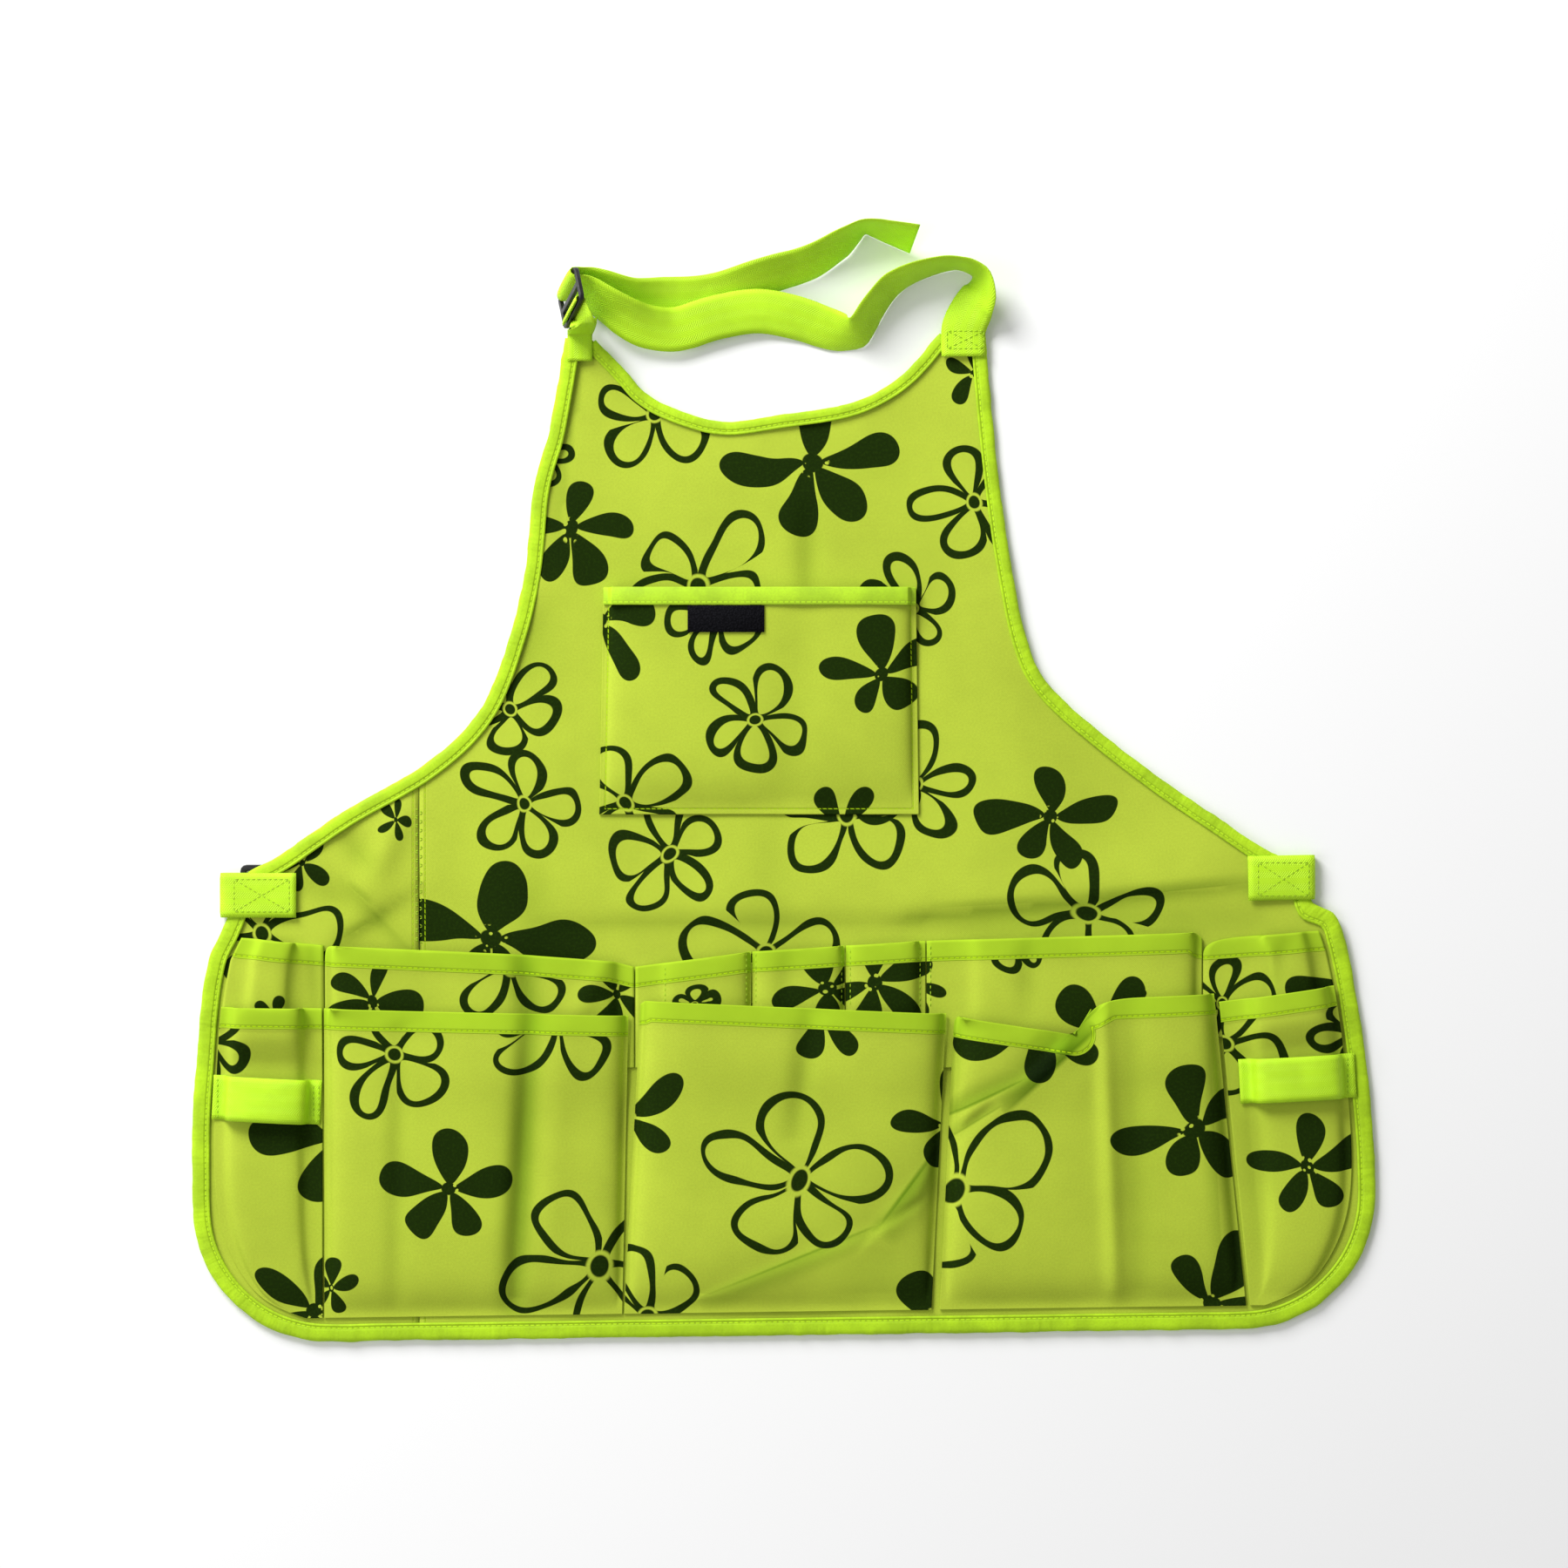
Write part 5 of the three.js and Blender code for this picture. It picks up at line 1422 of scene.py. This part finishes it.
class APRON_OT_panels(bpy.types.Operator):
    """Lays the main panel and the wing panel beside it."""

    bl_idname = "apron.panels"
    bl_label = "Panels"

    def execute(self, context):
        sizes = context.scene.apron_sizes
        rows = (
            ("main_panel", PANEL_FLOWERS, PANEL_CREASES),
            ("left_wing_panel", WING_FLOWERS, WING_CREASES),
        )
        for node, flowers, creases in rows:
            mesh, area = panel_sheet(node, creases, sizes.panel_grid)
            printed = printed_cloth(node, flowers, folds=FOLD_SHADES[node])
            piece = finished(node + "_cloth", mesh, printed, [node])
            thickened(piece, sizes.cloth_thickness)
        return {"FINISHED"}


class APRON_OT_tapes(bpy.types.Operator):
    """Lays the binding tapes, folded round the edges."""

    bl_idname = "apron.tapes"
    bl_label = "Binding tapes"

    def execute(self, context):
        material = material_for("tape", tape_material)
        rows = (
            ("left_armhole_binding", 1.0),
            ("right_armhole_binding", 0.92),
            ("skirt_binding", 0.86),
            ("neck_binding", 1.0),
        )
        for number, (node, width) in enumerate(rows):
            folded_tape(node, material, number * 11.3, width)
        return {"FINISHED"}


class APRON_OT_chest_pocket(bpy.types.Operator):
    """Sews on the chest pocket with its taped mouth and the hook patch."""

    bl_idname = "apron.chest_pocket"
    bl_label = "Chest pocket"

    def execute(self, context):
        sizes = context.scene.apron_sizes
        mesh, area = pocket_sheet("chest_pocket", CHEST_CREASES, 3)
        piece = finished(
            "chest_pocket_cloth",
            mesh,
            printed_cloth("chest_pocket", CHEST_FLOWERS),
            ["chest_pocket"],
        )
        thickened(piece, sizes.cloth_thickness)
        tape = welded("chest_pocket_binding")
        soft_copy(
            "chest_pocket_tape", tape, material_for("plain_tape", plain_tape_material),
            ["chest_pocket_binding"], 0.0006,
        )
        patch = welded("hook_patch")
        soft_copy(
            "hook_patch_tape",
            patch,
            material_for("hook", hook_material),
            ["hook_patch"],
            0.0003,
        )
        return {"FINISHED"}


def soft_copy(name, mesh, material, nodes, width, segments=2):
    """A piece with the shape of its node and rounded edges."""
    piece = finished(name, mesh, material, nodes)
    rounding = piece.modifiers.new("Rounded edges", "BEVEL")
    rounding.width = width
    rounding.segments = segments
    rounding.limit_method = "ANGLE"
    rounding.angle_limit = math.radians(35)
    return piece


def plain_tape_material():
    colours = bpy.context.scene.apron_colours
    material, graph, shader = new_material("mouth_tape")
    place = graph.object_place()
    groups = shared_groups()
    weave = graph.group(groups["weave"], {"Place": place, "Thread": 0.0005}).outputs
    patches = graph.noise(place, 60.0, Detail=3.0)
    ground = tape_ground(graph, colours, patches, weave)
    x, y, _ = graph.split(place)
    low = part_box("chest_pocket_binding")[0]
    stitch = graph.group(
        groups["stitch"],
        {"Along": x, "Away": graph.math("SUBTRACT", y, low.y + 0.0016), "Pitch": 0.0031, "Thread": 0.0004},
    ).outputs
    # Painted shade in the dent of the stitching, then the thread's own colour
    ground = graph.mix(graph.math("MULTIPLY", stitch["Dent"], 0.3), ground, colour4(colours.tape, 0.5))
    ground = graph.mix(stitch["Stitch"], ground, colour4(colours.tape, 1.1))
    graph.feed(shader.inputs["Base Color"], ground)
    graph.feed(shader.inputs["Roughness"], graph.math("MULTIPLY_ADD", patches, 0.15, 0.62))
    relief = graph.math("ADD", weave["Height"], graph.math("MULTIPLY", patches, 4.0))
    height = graph.math("MULTIPLY", relief, 0.00006)
    graph.bump(shader, height)
    return material


def tier_pieces(context, flowers, creases, levels):
    sizes = context.scene.apron_sizes
    for node, chart in flowers.items():
        mesh, area = pocket_sheet(node, creases.get(node, ()), levels)
        material = printed_cloth(node, chart, hemmed=True, folds=FOLD_SHADES.get(node, ()))
        piece = finished(node + "_cloth", mesh, material, [node])
        thickened(piece, sizes.cloth_thickness)


class APRON_OT_upper_tier(bpy.types.Operator):
    """Sews on the upper tier: side pockets, flat pockets and tool slots."""

    bl_idname = "apron.upper_tier"
    bl_label = "Upper tier of pockets"

    def execute(self, context):
        tier_pieces(context, UPPER_FLOWERS, UPPER_CREASES, 3)
        return {"FINISHED"}


class APRON_OT_lower_tier(bpy.types.Operator):
    """Sews on the lower tier of deep pockets."""

    bl_idname = "apron.lower_tier"
    bl_label = "Lower tier of pockets"

    def execute(self, context):
        tier_pieces(context, LOWER_FLOWERS, LOWER_CREASES, 4)
        return {"FINISHED"}


class APRON_OT_straps(bpy.types.Operator):
    """Lays the neck strap, the waist belt, their stubs and the tool loops."""

    bl_idname = "apron.straps"
    bl_label = "Straps and loops"

    def execute(self, context):
        material = material_for("webbing", webbing_material)
        woven_strap("neck_strap_webbing", ["neck_strap"], material, curl=0.0004, seed=1)
        woven_strap("neck_stub_webbing", ["neck_stub"], material, step=0.002, smooth=False, seed=2)
        woven_strap("waist_belt_webbing", ["waist_belt"], material, step=0.004, smooth=False, seed=3)
        woven_strap("waist_stub_webbing", ["waist_stub"], material, step=0.003, smooth=False, seed=4)
        for node in ("tool_loop_left", "tool_loop_right"):
            woven_strap(node + "_webbing", [node], material, seed=len(node))
        return {"FINISHED"}


class APRON_OT_plastic(bpy.types.Operator):
    """Rounds the edges of the slider and the buckle."""

    bl_idname = "apron.plastic"
    bl_label = "Slider and buckle"

    def execute(self, context):
        for node in ("neck_slider", "waist_buckle"):
            material = material_for("plastic", plastic_material)
            soft_copy(node + "_moulding", welded(node), material, [node], 0.0005, 3)
        return {"FINISHED"}


class APRON_OT_stitches(bpy.types.Operator):
    """Sews the single stitches of the crossed boxes, the slots and the zigzag seam."""

    bl_idname = "apron.stitches"
    bl_label = "Stitches"

    def execute(self, context):
        sizes = context.scene.apron_sizes
        context.view_layer.update()
        depsgraph = context.evaluated_depsgraph_get()
        mesh = bmesh.new()
        for seam in SEAMS:
            surfaces = [BVHTree.FromObject(bpy.data.objects[name], depsgraph) for name in seam["on"]]
            for start, end in zip(seam["run"], seam["run"][1:]):
                first = Vector((across(start[0]), upward(start[1])))
                along = Vector((across(end[0]), upward(end[1]))) - first
                count = max(1, round(along.length / sizes.stitch_length))
                for index in range(count):
                    ends = [first + along * (index + share) / count for share in (0.12, 0.88)]
                    sewn_stitch(mesh, surfaces, ends, sizes.thread)
        finished("single_stitches", mesh, thread_material(), [])
        return {"FINISHED"}


def sewn_stitch(mesh, surfaces, ends, thread):
    """A short thread on the highest of the surfaces, where both its ends meet one."""
    places = []
    for end in ends:
        heights = [height_over(surface, end.x, end.y) for surface in surfaces]
        heights = [height for height in heights if height is not None]
        if not heights:
            return
        places.append(Vector((end.x, end.y, max(heights) + 0.3 * thread)))
    along = places[1] - places[0]
    size = Vector((along.length / 2, thread * 1.2, thread))
    turn = along.to_track_quat("X", "Z").to_matrix().to_4x4()
    shape = turn @ Matrix.Diagonal(size.to_4d())
    shape.translation = (places[0] + places[1]) / 2
    shape[3][3] = 1
    bmesh.ops.create_icosphere(mesh, subdivisions=1, radius=1, matrix=shape)


PARTS = (
    APRON_OT_stage,
    APRON_OT_panels,
    APRON_OT_tapes,
    APRON_OT_chest_pocket,
    APRON_OT_upper_tier,
    APRON_OT_lower_tier,
    APRON_OT_straps,
    APRON_OT_plastic,
    APRON_OT_stitches,
)


class APRON_PT_sidebar(bpy.types.Panel):
    """Lists the apron's parts."""

    bl_label = "Apron"
    bl_idname = "APRON_PT_sidebar"
    bl_space_type = "VIEW_3D"
    bl_region_type = "UI"
    bl_category = "Apron"

    def draw(self, context):
        for part in PARTS:
            self.layout.operator(part.bl_idname)
        for owner in (context.scene.apron_sizes, context.scene.apron_colours):
            for name in owner.__annotations__:
                self.layout.prop(owner, name)


CLASSES = (ApronSizes, ApronColours, *PARTS, APRON_PT_sidebar)


def register():
    for made in CLASSES:
        bpy.utils.register_class(made)
    bpy.types.Scene.apron_sizes = bpy.props.PointerProperty(type=ApronSizes)
    bpy.types.Scene.apron_colours = bpy.props.PointerProperty(type=ApronColours)


def unregister():
    del bpy.types.Scene.apron_colours
    del bpy.types.Scene.apron_sizes
    for made in reversed(CLASSES):
        bpy.utils.unregister_class(made)


def main():
    register()
    bpy.ops.apron.stage()
    bpy.ops.apron.panels()
    bpy.ops.apron.tapes()
    bpy.ops.apron.chest_pocket()
    bpy.ops.apron.upper_tier()
    bpy.ops.apron.lower_tier()
    bpy.ops.apron.straps()
    bpy.ops.apron.plastic()
    bpy.ops.apron.stitches()


if __name__ == "__main__":
    main()
